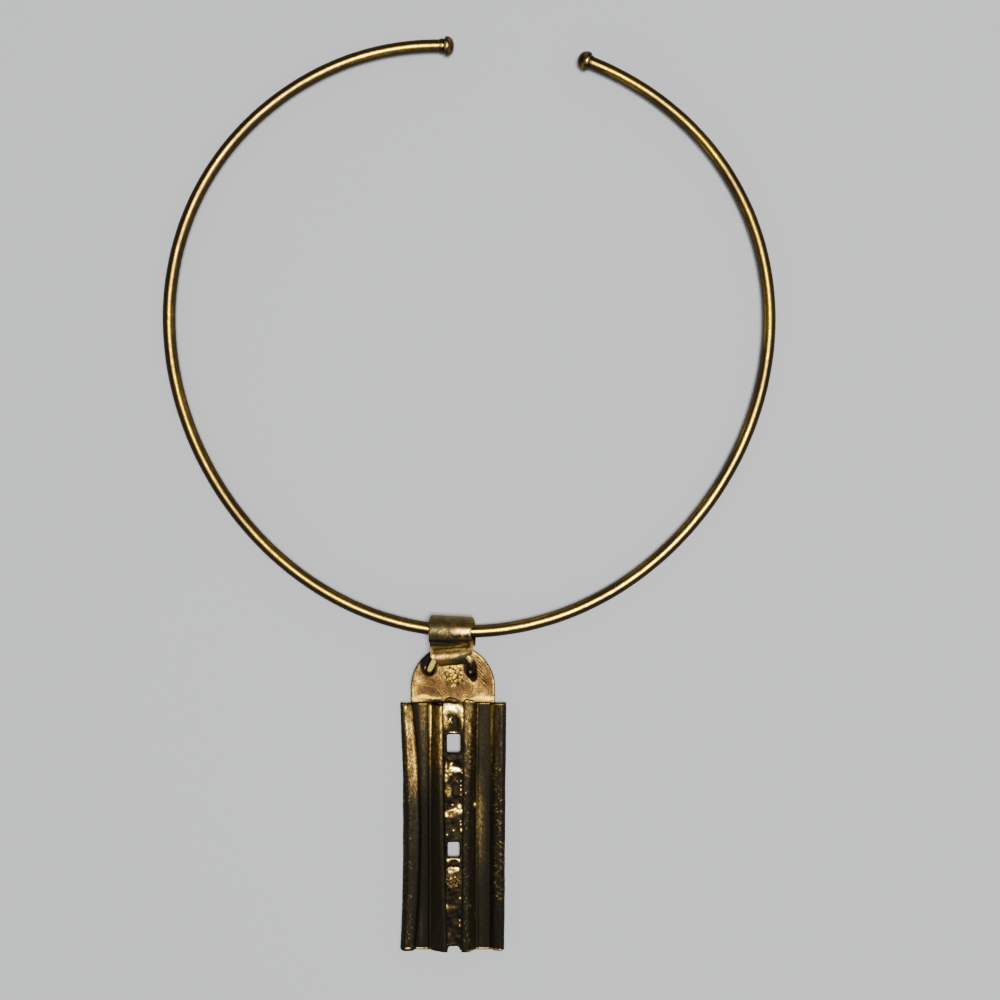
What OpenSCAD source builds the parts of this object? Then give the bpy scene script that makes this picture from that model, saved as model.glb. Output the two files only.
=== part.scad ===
// A stiff open neck ring of round brass wire with a ball cap on each end. A rolled strip bail hangs
// on it, a bent wire link hangs in the bail, and a cast pendant hangs on the link by two holes.
// The whole lies flat: the resting surface is z = 0, the opening for the neck is centred on the
// origin, the gap at the nape is towards +Y and the pendant towards -Y. Angles round the ring are
// counted from -Y, and are negative on the -X side.

/* [Neck wire] */
// Mean radius of the wire's centre line
ring_radius = 64.05; // [60:0.05:70]
// Diameter of the wire
wire_d = 2.8; // [2.4:0.1:3.2]
// Extra radius at the sides and lost at front and back, from bending by hand
ring_oval = 0.42; // [0:0.01:1]
// Height of the three soft bulges that bending left, one of them at the front
ring_lobes = 0.92; // [0:0.01:1.2]
// How far the left end turns inwards
left_tip_curl = 1.3; // [0:0.1:2]
// Angle of the wire's left end
left_end = -175.6; // [-177:0.1:-170]
// Angle of the wire's right end
right_end = 156.8; // [150:0.1:160]

/* [End caps] */
// Diameter of a ball cap
cap_d = 4.2; // [4:0.1:4.6]
// Length of the ball part along the wire
cap_length = 2.7; // [2.4:0.1:3]
// Diameter of the thin collar where the wire goes in
collar_d = 3.5; // [3.3:0.1:3.8]
// Length of the collar
collar_length = 0.45; // [0.3:0.05:0.6]
// Depth that the wire goes into the cap
socket_depth = 1.6; // [1:0.1:2]

/* [Bail] */
// Thickness of the strip that the bail is rolled from
strip_t = 0.6; // [0.5:0.05:0.7]
// Outer diameter of the large roll round the neck wire
loop_d = 6.4; // [6:0.1:7]
// Width of the large roll along the wire
loop_width = 10; // [9:0.1:11]
// Outer diameter of the small roll that holds the link
roll_d = 4.3; // [4:0.1:4.6]
// Width of the small roll at its upper side
shoulder_width = 9; // [8:0.1:9.4]
// Width of the small roll at its lower side, where the link comes out beside it
roll_width = 5.6; // [5:0.1:6]
// Distance between the two rolls' axes, seen from above
roll_drop = 5.36; // [5.2:0.02:5.5]
// Turn of the small roll, seen from above
roll_turn = 4; // [0:0.5:6]

/* [Link] */
// Diameter of the link's wire
link_d = 1.3; // [1:0.1:1.4]

/* [Pendant] */
// Place of the pendant's axis to the left of the ring's middle
axis_x = -3.4; // [-4:0.1:-2.8]
// Distance from the ring's middle to the top of the fluted panels
panels_top = 79.8; // [79.5:0.1:80.2]
// Length of the fluted panels
panel_length = 53.7; // [50:0.1:56]
// Thickness of the folded sheet
sheet_t = 0.8; // [0.7:0.05:0.9]
// Height of the outer ridge of each panel
outer_ridge_z = 2.0; // [1.7:0.1:2.3]
// Height of the folded ridge beside the middle strip
inner_ridge_z = 2.7; // [2.4:0.1:3]
// How far the outer edge of the left panel bows inwards
left_bow = 0.65; // [0:0.05:0.8]
// How far the outer ridge of the left panel bows inwards
left_ridge_bow = 1.1; // [0:0.05:1.2]
// How much the right panel is narrower at its lower end
right_taper = 0.5; // [0:0.05:0.8]

/* [Hanger plate] */
// Radius of the domed plate above the panels
plate_r = 9.1; // [8.8:0.05:9.4]
// Distance from the ring's middle to the centre of the dome
plate_centre = 76.6; // [76.4:0.1:77]
// Thickness of the plate
plate_t = 0.8; // [0.7:0.05:1]
// Height of the plate's underside, which leaves room for the link behind it
plate_z = 1.4; // [1.4:0.05:1.6]
// Radius of the left hole
left_hole_r = 1.8; // [1.5:0.05:1.9]
// Radius of the right hole
right_hole_r = 1.5; // [1.4:0.05:1.7]

/* [Hidden] */
$fn = 48;

// Neck wire
wire_r = wire_d / 2;
wire_sides = 12;
wire_step = 3;
wire_z = cap_d / 2;
curl_from = 150;
oval_turn = 88;
lobe_turn = -2;
fit_gap = 0.08;

// Bail: the large roll stands on the resting surface and the wire lies in it
loop_z = loop_d / 2;
loop_y = -64.3;
bail_turn = -3.1;
bail_x = -3.5;
roll_y = loop_y - roll_drop;
roll_z = plate_z + plate_t + roll_d / 2 + 0.1;
web_length = 1.8;
web_t = 1.1;
corner_cut = (shoulder_width - roll_width) / 2;

// Hanger plate
left_hole = [-5, -72.3];
right_hole = [3.9, -73.2];
solder_length = 0.5;

// Middle strip, from the pendant's axis
strip_left = -2.1;
strip_right = 2.3;
strip_z = 1.2;
strip_top = 2.3;
// Each row is one opening through the strip: left, right, start and end below the panels' top
windows = [
    [-1.4, 1.7, 6.4, 11.0],
    [-1.2, 1.7, 30.1, 33.5],
    [-1.1, 1.5, 52.5, 54.5]
];
// Each row is one lump of run metal: x, distance below the panels' top, foot radius, height
lumps = [
    [0.1, 2.9, 2.2, 0.8],
    [0.0, 15.2, 1.9, 0.7],
    [0.2, 19.6, 1.7, 0.3],
    [0.0, 23.7, 1.9, 0.7],
    [0.2, 27.4, 1.5, 0.3],
    [0.1, 38.3, 2.1, 0.6],
    [-0.9, 43.9, 1.1, 0.5],
    [0.1, 48.2, 1.9, 0.3]
];

panel_steps = 10;

// Radius of the wire's centre line at an angle
function curl(a) = a < -curl_from ? left_tip_curl * pow((a + curl_from) / (left_end + curl_from), 2) : 0;
function ring_r(a) = ring_radius + ring_oval * cos(2 * (a - oval_turn))
    + ring_lobes * cos(3 * (a - lobe_turn)) - curl(a);
function ring_point(a) = [ring_r(a) * sin(a), -ring_r(a) * cos(a), wire_z];
// Unit direction of the wire at an angle
function unit(v) = v / norm(v);
function ring_way(a) = unit(ring_point(a + 0.5) - ring_point(a - 0.5));

// A round section of n points about a centre, across a direction, with one side kept near a given way
function section(centre, way, side, r, n) =
    let (u = unit(cross(way, side)), v = cross(u, way))
    [for (i = [0 : n - 1]) centre + r * (cos(360 * i / n) * u + sin(360 * i / n) * v)];

// Cuts the corners of a closed path, each time doubling its points
function rounded(path, times) = times == 0 ? path : rounded([
    for (i = [0 : len(path) - 1])
        let (a = path[i], b = path[(i + 1) % len(path)])
        each [a * 0.75 + b * 0.25, a * 0.25 + b * 0.75]
], times - 1);

// Joins sections of an even number of points into one skin, closed on itself or with two flat ends
module skin(sections, closed = false) {
    n = len(sections[0]);
    rows = len(sections);
    links = closed ? rows : rows - 1;
    sides = [
        for (k = [0 : links - 1], i = [0 : n - 1])
            let (k2 = (k + 1) % rows, j = (i + 1) % n)
            each [[k * n + i, k * n + j, k2 * n + j], [k * n + i, k2 * n + j, k2 * n + i]]
    ];
    // An end is a ladder of triangles between one half of its section and the other
    rungs = [for (i = [0 : n / 2 - 2]) each [[i, n - 2 - i, i + 1], [i, n - 1 - i, n - 2 - i]]];
    far = (rows - 1) * n;
    ends = closed ? [] : concat(rungs, [for (f = rungs) [far + f[0], far + f[2], far + f[1]]]);
    polyhedron(points = [for (s = sections) each s], faces = concat(sides, ends), convexity = 8);
}

module neck_ring() {
    count = ceil((right_end - left_end) / wire_step);
    color("goldenrod")
        skin([
            for (k = [0 : count])
                let (a = left_end + (right_end - left_end) * k / count)
                section(ring_point(a), ring_way(a), [0, 0, 1], wire_r, wire_sides)
        ]);
}

// One cap, with its ball on the axis beyond the wire's end and its open side towards the wire
module end_cap(a, outward) {
    way = ring_way(a) * outward;
    color("darkgoldenrod")
        translate(ring_point(a))
        rotate([0, 90, atan2(way[1], way[0])])
        difference() {
            union() {
                translate([0, 0, cap_length / 2 + collar_length - socket_depth])
                    intersection() {
                        sphere(d = cap_d);
                        cube([cap_d, cap_d, cap_length], center = true);
                    }
                translate([0, 0, -socket_depth])
                    cylinder(d = collar_d, h = collar_length + 0.3);
            }
            translate([0, 0, -socket_depth - 1])
                cylinder(r = wire_r + fit_gap, h = socket_depth + 1 + fit_gap);
        }
}

module end_cap_left() {
    end_cap(left_end, -1);
}

module end_cap_right() {
    end_cap(right_end, 1);
}

// A cylinder lying along X, centred on the origin
module rod(d, length) {
    rotate([0, 90, 0])
        cylinder(d = d, h = length, center = true);
}

module bail() {
    slope = atan2(roll_z - loop_z, roll_drop);
    color("peru")
        difference() {
            union() {
                translate([bail_x, loop_y, loop_z])
                    rotate(bail_turn)
                    rod(loop_d, loop_width);
                translate([bail_x, roll_y, roll_z])
                    rotate(roll_turn)
                    difference() {
                        rod(roll_d, shoulder_width);
                        for (side = [-1, 1])
                            translate([side * (shoulder_width + 1 - corner_cut) / 2 + side * 0.5, -roll_d / 2 - 0.3, 0])
                                cube([corner_cut + 1, roll_d, roll_d + 1], center = true);
                    }
                translate([bail_x, loop_y - loop_d / 2 + 0.1, loop_z + 0.75])
                    rotate([-slope, 0, 0])
                    cube([shoulder_width - 0.4, web_length, web_t], center = true);
            }
            translate([bail_x, loop_y, loop_z])
                rotate(bail_turn)
                rod(loop_d - 2 * strip_t, loop_width + 2);
            translate([bail_x, roll_y, roll_z])
                rotate(roll_turn)
                rod(roll_d - 2 * strip_t, shoulder_width + 2);
        }
}

module link() {
    behind_z = plate_z / 2;
    // Corners of the wire's closed way: through the small roll, down both holes and across behind
    corners = [
        [-3.6, -69.9, roll_z],
        [3.4, -69.4, roll_z],
        [4.3, -70.3, roll_z],
        [4.1, -72.9, 3.5],
        [3.9, -73.5, behind_z],
        [3.0, -73.3, behind_z],
        [-4.0, -72.6, behind_z],
        [-5.0, -72.6, behind_z],
        [-5.1, -72.2, 3.5],
        [-4.8, -70.5, roll_z]
    ];
    path = rounded(corners, 2);
    n = len(path);
    color("goldenrod")
        translate([axis_x, 0, 0])
        skin([
            for (k = [0 : n - 1])
                let (way = unit(path[(k + 1) % n] - path[(k + n - 1) % n]))
                section(path[k], way, [0, 0.7, -0.7], link_d / 2, 8)
        ], closed = true);
}

// Share of a bow at a part t of the length: none at the ends, whole a little above the middle
function bow(t) = sin(180 * pow(t, 0.66));

// Upper line of a panel's fold as [x, z], from its outer edge to the middle strip
function left_fold(t) = [
    [-11.25 + left_bow * bow(t), sheet_t],
    [-10.85 + left_ridge_bow * bow(t), outer_ridge_z],
    [-8.65 + 0.9 * bow(t), sheet_t],
    [-5.0, sheet_t],
    [-4.7, sheet_t + 0.4],
    [-3.0, inner_ridge_z],
    [-1.9 + 0.6 * t, inner_ridge_z - 0.2]
];
function right_fold(t) = [
    [11.3 - right_taper * t, sheet_t],
    [10.9 - right_taper * t, outer_ridge_z],
    [8.2 - right_taper * t / 2, sheet_t],
    [5.3, sheet_t],
    [5.0, sheet_t + 0.5],
    [4.4, inner_ridge_z - 0.3],
    [2.2, inner_ridge_z - 0.1]
];

// Closed outline of a fold: the upper line, then the lower one back, a sheet's thickness below it
function fold_outline(f) = concat(f, [for (i = [len(f) - 1 : -1 : 0]) [f[i][0], f[i][1] - sheet_t]]);

module panel(folds) {
    skin([
        for (k = [0 : panel_steps])
            let (y = -panels_top - panel_length * k / panel_steps)
            [for (p = fold_outline(folds[k])) [p[0], y, p[1]]]
    ]);
}

module middle_strip() {
    translate([strip_left, -panels_top - panel_length + 1.2, strip_z])
        cube([strip_right - strip_left, panel_length - 0.6, strip_top - strip_z]);
    for (lump = lumps)
        translate([lump[0], -panels_top - lump[1], strip_top - 0.2])
            cylinder(r1 = lump[2], r2 = lump[2] * 0.6, h = lump[3] + 0.2);
}

module hanger_plate() {
    translate([0, 0, plate_z])
        linear_extrude(plate_t)
        difference() {
            union() {
                translate([0, -plate_centre])
                    circle(plate_r);
                translate([-plate_r, -panels_top])
                    square([2 * plate_r, panels_top - plate_centre]);
            }
            translate([-plate_r - 1, -panels_top - 10])
                square([2 * plate_r + 2, 10]);
            translate(left_hole)
                circle(left_hole_r);
            translate(right_hole)
                circle(right_hole_r);
        }
}

module pendant() {
    color("olive")
        translate([axis_x, 0, 0])
        difference() {
            union() {
                panel([for (k = [0 : panel_steps]) left_fold(k / panel_steps)]);
                mirror([1, 0, 0])
                    panel([for (k = [0 : panel_steps]) [for (p = right_fold(k / panel_steps)) [-p[0], p[1]]]]);
                middle_strip();
                hanger_plate();
                translate([-plate_r + 0.3, -panels_top - solder_length, 0.5])
                    cube([2 * plate_r - 0.6, solder_length + 0.2, plate_z + plate_t - 0.7]);
            }
            for (w = windows)
                translate([w[0], -panels_top - w[3], 0])
                    cube([w[1] - w[0], w[3] - w[2], 5]);
        }
}

neck_ring();
end_cap_left();
end_cap_right();
bail();
link();
pendant();
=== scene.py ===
"""A stiff brass neck ring with a rolled strip bail and a fluted cast pendant, lying flat.

The classes below build each piece in full from its own sizes, in millimetres: +Y points to the
gap at the nape, the pendant hangs towards -Y, and +Z is up from the resting surface. On the
pendant a place is given as across, from its axis to the right, and down, from the top of its
fluted panels. Each point of a mesh carries two marks that the finishes read: wear, from 0 for
dark tarnish to 1 for bare metal and above that where no speck of tarnish is left, and lay, a
place in millimetres whose second number runs along the metal. Besides tarnish and wear, the
wear also holds painted highlights and painted shade.
"""

import logging
import math
from dataclasses import dataclass, field
from enum import Enum
from typing import NamedTuple

import bpy
import numpy as np
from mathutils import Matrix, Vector
from mathutils.geometry import delaunay_2d_cdt


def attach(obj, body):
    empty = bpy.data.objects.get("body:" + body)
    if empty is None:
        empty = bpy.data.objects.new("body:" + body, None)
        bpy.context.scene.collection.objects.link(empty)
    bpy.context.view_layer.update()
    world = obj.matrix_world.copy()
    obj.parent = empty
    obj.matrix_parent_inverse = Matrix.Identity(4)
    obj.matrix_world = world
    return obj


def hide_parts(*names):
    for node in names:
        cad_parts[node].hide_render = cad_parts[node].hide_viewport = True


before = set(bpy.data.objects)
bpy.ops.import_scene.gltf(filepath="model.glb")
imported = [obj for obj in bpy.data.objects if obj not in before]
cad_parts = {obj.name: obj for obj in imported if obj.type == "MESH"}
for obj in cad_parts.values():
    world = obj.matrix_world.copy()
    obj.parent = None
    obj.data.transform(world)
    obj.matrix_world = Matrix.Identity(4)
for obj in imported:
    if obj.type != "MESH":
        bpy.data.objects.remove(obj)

MM = 0.001
TURN = 2 * math.pi
# Wear above this changes nothing more.
WEAR_LIMIT = 2.0
# Faces that meet at a larger angle than this keep a sharp edge.
SHARP_ANGLE = math.radians(60)
# Places beside a rounded edge, as shares of its rounding, and the share where even steps begin.
RIM_STATIONS = (0.0, 0.06, 0.25, 0.6, 1.0, 1.35, 1.7)
RIM_REACH = 2.1
# Share of a bent sheet's thickness that is left at its very edge.
EDGE_SHARE = 0.16
# Rows of points along the edges of a cut sheet, as shares of their rounding.
RIM_ROWS = (0.08, 0.3, 0.65, 1.0)
# Distance between staggered rows of points, as a share of the distance within a row.
ROW_PITCH = 0.87
# Points of a cut sheet nearer than this are one, and its triangles are larger than this.
SAME_SPOT = 1e-7
LEAST_AREA = 1e-9

Array = np.ndarray
Colour = tuple[float, float, float]
Socket = bpy.types.NodeSocket

log = logging.getLogger("choker")


class Slot(Enum):
    """Names of the material slots of the record."""

    WIRE = "wire_brass"
    BALL = "cap_brass"
    BAIL = "bail_bronze"
    LINK = "link_brass"
    PENDANT = "pendant_patina"


def ease(t: Array) -> Array:
    """A smooth step from 0 to 1 as t goes from 0 to 1."""
    t = np.clip(t, 0.0, 1.0)
    return t * t * (3 - 2 * t)


def unit(vectors: Array) -> Array:
    """The vectors of an array, each scaled to length 1."""
    return vectors / np.linalg.norm(vectors, axis=-1, keepdims=True)


def mix(a: Array, b: Array, share: Array) -> Array:
    """Values from a to b as share goes from 0 to 1."""
    return a + (b - a) * share


def hill(*sides: tuple[Array, float, float, float]) -> Array:
    """A hill that rises smoothly from 0 to 1 where every one of its sides is near its middle.

    Args:
        sides: for each side the values, their middle, half the hill's width and its power, 2 for
            a round top and 4 or more for a flat one.

    Returns:
        The height of the hill at each value.
    """
    fall = 0.0
    for values, middle, half, power in sides:
        fall = fall - ((values - middle) / half) ** power
    return np.exp(fall)


def stations(length: float, step: float, rim: float) -> Array:
    """Places along a length, close together near both ends where an edge is rounded.

    Args:
        length: the whole length.
        step: the distance between places away from the ends.
        rim: how far the rounding reaches in from each end.

    Returns:
        The places in rising order, from 0 to the length.
    """
    near = rim * np.array(RIM_STATIONS)
    far = RIM_REACH * rim
    count = max(2, round((length - 2 * far) / step))
    return np.concatenate([near, np.linspace(far, length - far, count + 1), length - near[::-1]])


@dataclass(frozen=True)
class Ripple:
    """The gentle unevenness of metal worked by hand, as a sum of waves.

    Args:
        seed: number that picks the waves.
        length: usual distance between two crests.
        height: usual height of the unevenness.
        waves: number of waves.
        spread: length of the shortest and the longest wave, as shares of the usual one.
    """

    seed: int
    length: float
    height: float
    waves: int = 16
    spread: tuple[float, float] = (0.6, 1.7)

    def at(self, places: Array) -> Array:
        """Works out how high the metal stands.

        Args:
            places: points, with x, y, z on the last axis.

        Returns:
            A height for each point.
        """
        draw = np.random.default_rng(self.seed)
        ways = unit(draw.normal(size=(self.waves, 3)))
        lengths = self.length * draw.uniform(*self.spread, self.waves)
        starts = draw.uniform(0, TURN, self.waves)
        angles = places @ (ways / lengths[:, None]).T * TURN + starts
        return self.height * math.sqrt(2 / self.waves) * np.sin(angles).sum(-1)


def grid_faces(rows: int, cols: int, wrap_rows: bool = False, wrap_cols: bool = False) -> Array:
    """Four-sided faces of a grid of points.

    Args:
        rows: number of rows of points.
        cols: number of points in a row.
        wrap_rows: whether the last row joins the first.
        wrap_cols: whether the last point of a row joins its first.

    Returns:
        An array of faces, each four point numbers.
    """
    row = np.arange(rows if wrap_rows else rows - 1)[:, None]
    col = np.arange(cols if wrap_cols else cols - 1)[None, :]
    next_row, next_col = (row + 1) % rows, (col + 1) % cols
    corners = (row * cols + col, row * cols + next_col, next_row * cols + next_col, next_row * cols + col)
    return np.stack(np.broadcast_arrays(*corners), -1).reshape(-1, 4)


def filled_loop(corners: Array, step: float) -> Array:
    """A closed outline with extra points along its sides.

    Args:
        corners: the corners of the outline.
        step: the longest distance between two points.

    Returns:
        The corners and the extra points, in order.
    """
    points = []
    for a, b in zip(corners, np.roll(corners, -1, 0)):
        count = max(1, math.ceil(float(np.linalg.norm(b - a)) / step))
        points += [a + (b - a) * k / count for k in range(count)]
    return np.array(points)


def placed(name: str, data: bpy.types.ID) -> bpy.types.Object:
    """Puts a mesh, a lamp or a camera into the scene.

    Args:
        name: name of the object.
        data: the mesh, lamp or camera.

    Returns:
        The new object.
    """
    made = bpy.data.objects.new(name, data)
    bpy.context.scene.collection.objects.link(made)
    return made


@dataclass
class Skin:
    """The closed skins of one piece, gathered before its mesh is made.

    Args:
        points: the points of each skin.
        faces: the faces of all skins, as lists of point numbers.
        wear: how worn the points of each skin are.
        lay: the lay of the points of each skin.
    """

    points: list[Array] = field(default_factory=list)
    faces: list[list[int]] = field(default_factory=list)
    wear: list[Array] = field(default_factory=list)
    lay: list[Array] = field(default_factory=list)

    def add(self, points: Array, faces: list[Array], wear: Array, lay: Array) -> None:
        """Adds one closed skin, turned so that its faces look outwards.

        Args:
            points: the points, one row each.
            faces: arrays of faces, each array with one number of corners.
            wear: how worn each point is.
            lay: the place of each point for the marks of the finish.
        """
        volume = 0.0
        for group in faces:
            first = points[group[:, 0]]
            for k in range(1, group.shape[1] - 1):
                side = np.cross(points[group[:, k]], points[group[:, k + 1]])
                volume += float((first * side).sum())
        start = sum(len(p) for p in self.points)
        for group in faces:
            outward = group if volume > 0 else group[:, ::-1]
            self.faces.extend((outward + start).tolist())
        self.points.append(points)
        self.wear.append(np.clip(wear, 0.0, WEAR_LIMIT))
        self.lay.append(lay)

    def tube(self, rows: Array, wear: Array, lay: Array, closed: bool = False) -> None:
        """Adds a round skin swept through rows of points.

        Args:
            rows: the points, as rows by points in a row by x, y, z.
            wear: how worn each point is, rows by points.
            lay: the lay of each point, shaped as rows.
            closed: whether the last row joins the first, instead of two closed ends.
        """
        count, around = rows.shape[:2]
        faces = [grid_faces(count, around, closed, True)]
        points, worn, laid = rows.reshape(-1, 3), wear.reshape(-1), lay.reshape(-1, 3)
        if not closed:
            first = np.arange(around)
            after = np.roll(first, -1)
            last = (count - 1) * around
            middle = len(points)
            faces.append(np.stack([after, first, np.full(around, middle)], -1))
            faces.append(np.stack([last + first, last + after, np.full(around, middle + 1)], -1))
            points = np.concatenate([points, rows[:1].mean(1), rows[-1:].mean(1)])
            worn = np.concatenate([worn, wear[:1].mean(1), wear[-1:].mean(1)])
            laid = np.concatenate([laid, lay[:1].mean(1), lay[-1:].mean(1)])
        self.add(points, faces, worn, laid)

    def sheet(self, middle: Array, thick: float, front: "Face", back: "Face") -> None:
        """Adds a thick sheet with rounded edges round a middle surface.

        Args:
            middle: the middle surface, as rows by columns by x, y, z.
            thick: thickness of the sheet.
            front: relief and wear of the side that the rows' way crossed with the columns' way looks to.
            back: relief and wear of the other side.
        """
        rows, cols = middle.shape[:2]
        normal = unit(np.cross(np.gradient(middle, axis=0), np.gradient(middle, axis=1)))
        rim = thick / 2
        inward = [edge_reach(middle, axis) for axis in (0, 1)]
        near = np.minimum(np.minimum(*inward) / rim, 1.0)
        share = np.maximum(np.sqrt(1 - (1 - near) ** 2), EDGE_SHARE)
        top = middle + normal * (share * (rim + front.relief))[..., None]
        low = middle - normal * (share * (rim + back.relief))[..., None]
        index = np.arange(rows * cols).reshape(rows, cols)
        border = np.concatenate([index[0, :-1], index[:-1, -1], index[-1, :0:-1], index[:0:-1, 0]])
        after = np.roll(border, -1)
        under = rows * cols
        faces = grid_faces(rows, cols)
        wall = np.stack([after, border, border + under, after + under], -1)
        self.add(
            np.concatenate([top.reshape(-1, 3), low.reshape(-1, 3)]),
            [faces, faces[:, ::-1] + under, wall],
            np.concatenate([front.wear.reshape(-1), back.wear.reshape(-1)]),
            np.concatenate([front.lay.reshape(-1, 3), back.lay.reshape(-1, 3)]),
        )

    def cut_sheet(self, cut: "CutSheet", front: "Face", back: "Face") -> None:
        """Adds a cut and pierced sheet between two surfaces.

        Args:
            cut: the flat pattern.
            front: heights, in relief, and wear of the upper side.
            back: heights and wear of the lower side.
        """
        near = np.minimum(cut.reach / cut.rim, 1.0)
        drop = cut.rim * (1 - np.sqrt(1 - (1 - near) ** 2))
        top = np.column_stack([cut.points, front.relief - drop])
        low = np.column_stack([cut.points, back.relief + drop])
        count = len(cut.points)
        start, end = cut.edges[:, 0], cut.edges[:, 1]
        wall = np.stack([end, start, start + count, end + count], -1)
        self.add(
            np.concatenate([top, low]),
            [cut.faces, cut.faces[:, ::-1] + count, wall],
            np.concatenate([front.wear, back.wear]),
            np.concatenate([front.lay, back.lay]),
        )

    def piece(self, name: str, finish: "Finish", *nodes: str) -> bpy.types.Object:
        """Makes the mesh in the row's frame and hides the plain solids that it stands for.

        Args:
            name: name of the piece.
            finish: the finish that it wears.
            nodes: the plain solids that it replaces.

        Returns:
            The new object.
        """
        mesh = bpy.data.meshes.new(name)
        points = np.concatenate(self.points) * MM
        mesh.from_pydata(points.tolist(), [], self.faces)
        worn = mesh.attributes.new("wear", "FLOAT", "POINT")
        worn.data.foreach_set("value", np.concatenate(self.wear).astype(np.float32))
        laid = mesh.attributes.new("lay", "FLOAT_VECTOR", "POINT")
        laid.data.foreach_set("vector", np.concatenate(self.lay).astype(np.float32).reshape(-1))
        mesh.shade_smooth()
        mesh.set_sharp_from_angle(angle=SHARP_ANGLE)
        mesh.materials.append(finish.material())
        made = placed(name, mesh)
        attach(made, "root")
        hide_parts(*nodes)
        log.info("%s: %d points, %d faces", name, len(mesh.vertices), len(mesh.polygons))
        return made


@dataclass
class Face:
    """One side of a sheet.

    Args:
        relief: height of each point, over the sheet's surface or over the resting plane.
        wear: how worn each point is.
        lay: the place of each point for the marks of the finish.
    """

    relief: Array
    wear: Array
    lay: Array


def edge_reach(surface: Array, axis: int) -> Array:
    """Distance along one axis of a surface to the nearer of the two edges that close it.

    Args:
        surface: rows by columns by x, y, z.
        axis: 0 along the columns' direction of rising rows, 1 along a row.

    Returns:
        A distance for each point.
    """
    steps = np.linalg.norm(np.diff(surface, axis=axis), axis=-1)
    blank = np.zeros_like(np.take(steps, [0], axis=axis))
    along = np.concatenate([blank, np.cumsum(steps, axis=axis)], axis=axis)
    whole = np.take(along, [-1], axis=axis)
    return np.minimum(along, whole - along)


@dataclass
class CutSheet:
    """A flat pattern with holes, filled with triangles that follow its edges closely.

    Args:
        outline: corners of the outer edge, turning left.
        holes: corners of each hole, turning right.
        spacing: distance between points inside.
        rim: how far the rounding of the edges reaches inwards.
    """

    outline: Array
    holes: list[Array]
    spacing: float
    rim: float

    def __post_init__(self) -> None:
        """Places the points and joins them."""
        loops = [self.outline, *self.holes]
        sets = [*loops, *self.rim_spots(loops), self.inner_spots(loops)]
        edges, start = [], 0
        for loop in loops:
            edges += [(start + k, start + (k + 1) % len(loop)) for k in range(len(loop))]
            start += len(loop)
        spots = [Vector(p) for p in np.concatenate(sets).tolist()]
        made = delaunay_2d_cdt(spots, edges, [], 0, SAME_SPOT)
        self.points = np.array([tuple(p) for p in made[0]])
        faces = np.array([f for f in made[2] if len(f) == 3])
        centres = self.points[faces].mean(1)
        faces = faces[self.within(centres, loops)]
        a, b, c = (self.points[faces[:, k]] for k in range(3))
        area = (b - a)[:, 0] * (c - a)[:, 1] - (b - a)[:, 1] * (c - a)[:, 0]
        faces[area < 0] = faces[area < 0][:, ::-1]
        self.faces = faces[np.abs(area) > LEAST_AREA]
        self.edges = self.open_edges()
        self.reach = self.distance(self.points, loops)

    def rim_spots(self, loops: list[Array]) -> list[Array]:
        """Places rows of points that follow each edge, where it is rounded.

        Args:
            loops: the outline and the holes.

        Returns:
            The points of each row that lie clear of every edge.
        """
        rows = []
        for share in RIM_ROWS:
            depth = share * self.rim
            ring = np.concatenate([self.shifted(loop, depth) for loop in loops])
            clear = self.distance(ring, loops) > 0.8 * depth
            rows.append(ring[clear & self.within(ring, loops)])
        return rows

    def inner_spots(self, loops: list[Array]) -> Array:
        """Fills the flat part with staggered rows of points.

        Args:
            loops: the outline and the holes.

        Returns:
            The points that lie clear of the rounded edges.
        """
        low, high = self.outline.min(0), self.outline.max(0)
        rows = np.arange(low[1], high[1], self.spacing * ROW_PITCH)
        cols = np.arange(low[0], high[0], self.spacing)
        x, y = np.meshgrid(cols, rows)
        x = x + np.where(np.arange(len(rows)) % 2, self.spacing / 2, 0.0)[:, None]
        fill = np.column_stack([x.reshape(-1), y.reshape(-1)])
        clear = self.distance(fill, loops) > self.rim + 0.55 * self.spacing
        return fill[clear & self.within(fill, loops)]

    def open_edges(self) -> Array:
        """Finds the edges that only one triangle has.

        Returns:
            Pairs of point numbers, in that triangle's direction.
        """
        pairs = np.concatenate([self.faces[:, [k, (k + 1) % 3]] for k in range(3)])
        seen = {tuple(pair) for pair in pairs.tolist()}
        return np.array([pair for pair in pairs.tolist() if (pair[1], pair[0]) not in seen])

    @staticmethod
    def shifted(loop: Array, depth: float) -> Array:
        """The corners of a loop, moved into the metal by a depth."""
        way = unit(np.roll(loop, -1, 0) - np.roll(loop, 1, 0))
        return loop + depth * np.column_stack([-way[:, 1], way[:, 0]])

    @staticmethod
    def distance(spots: Array, loops: list[Array]) -> Array:
        """Measures how far spots are from the edges.

        Args:
            spots: the points, one row each.
            loops: the outline and the holes.

        Returns:
            Distance from each spot to the nearest edge.
        """
        best = np.full(len(spots), np.inf)
        for loop in loops:
            for a, b in zip(loop, np.roll(loop, -1, 0)):
                side = b - a
                share = np.clip(((spots - a) @ side) / (side @ side), 0.0, 1.0)
                gap = spots - a - share[:, None] * side
                best = np.minimum(best, np.hypot(gap[:, 0], gap[:, 1]))
        return best

    @staticmethod
    def within(spots: Array, loops: list[Array]) -> Array:
        """Finds the spots that lie in the metal.

        Args:
            spots: the points, one row each.
            loops: the outline and the holes.

        Returns:
            Whether each spot is inside the outline and outside the holes.
        """
        odd = np.zeros(len(spots), bool)
        x, y = spots[:, 0], spots[:, 1]
        for loop in loops:
            for a, b in zip(loop, np.roll(loop, -1, 0)):
                rise = b[1] - a[1]
                if rise != 0:
                    crossed = (a[1] > y) != (b[1] > y)
                    odd ^= crossed & (x < a[0] + (y - a[1]) * (b[0] - a[0]) / rise)
        return odd


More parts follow.
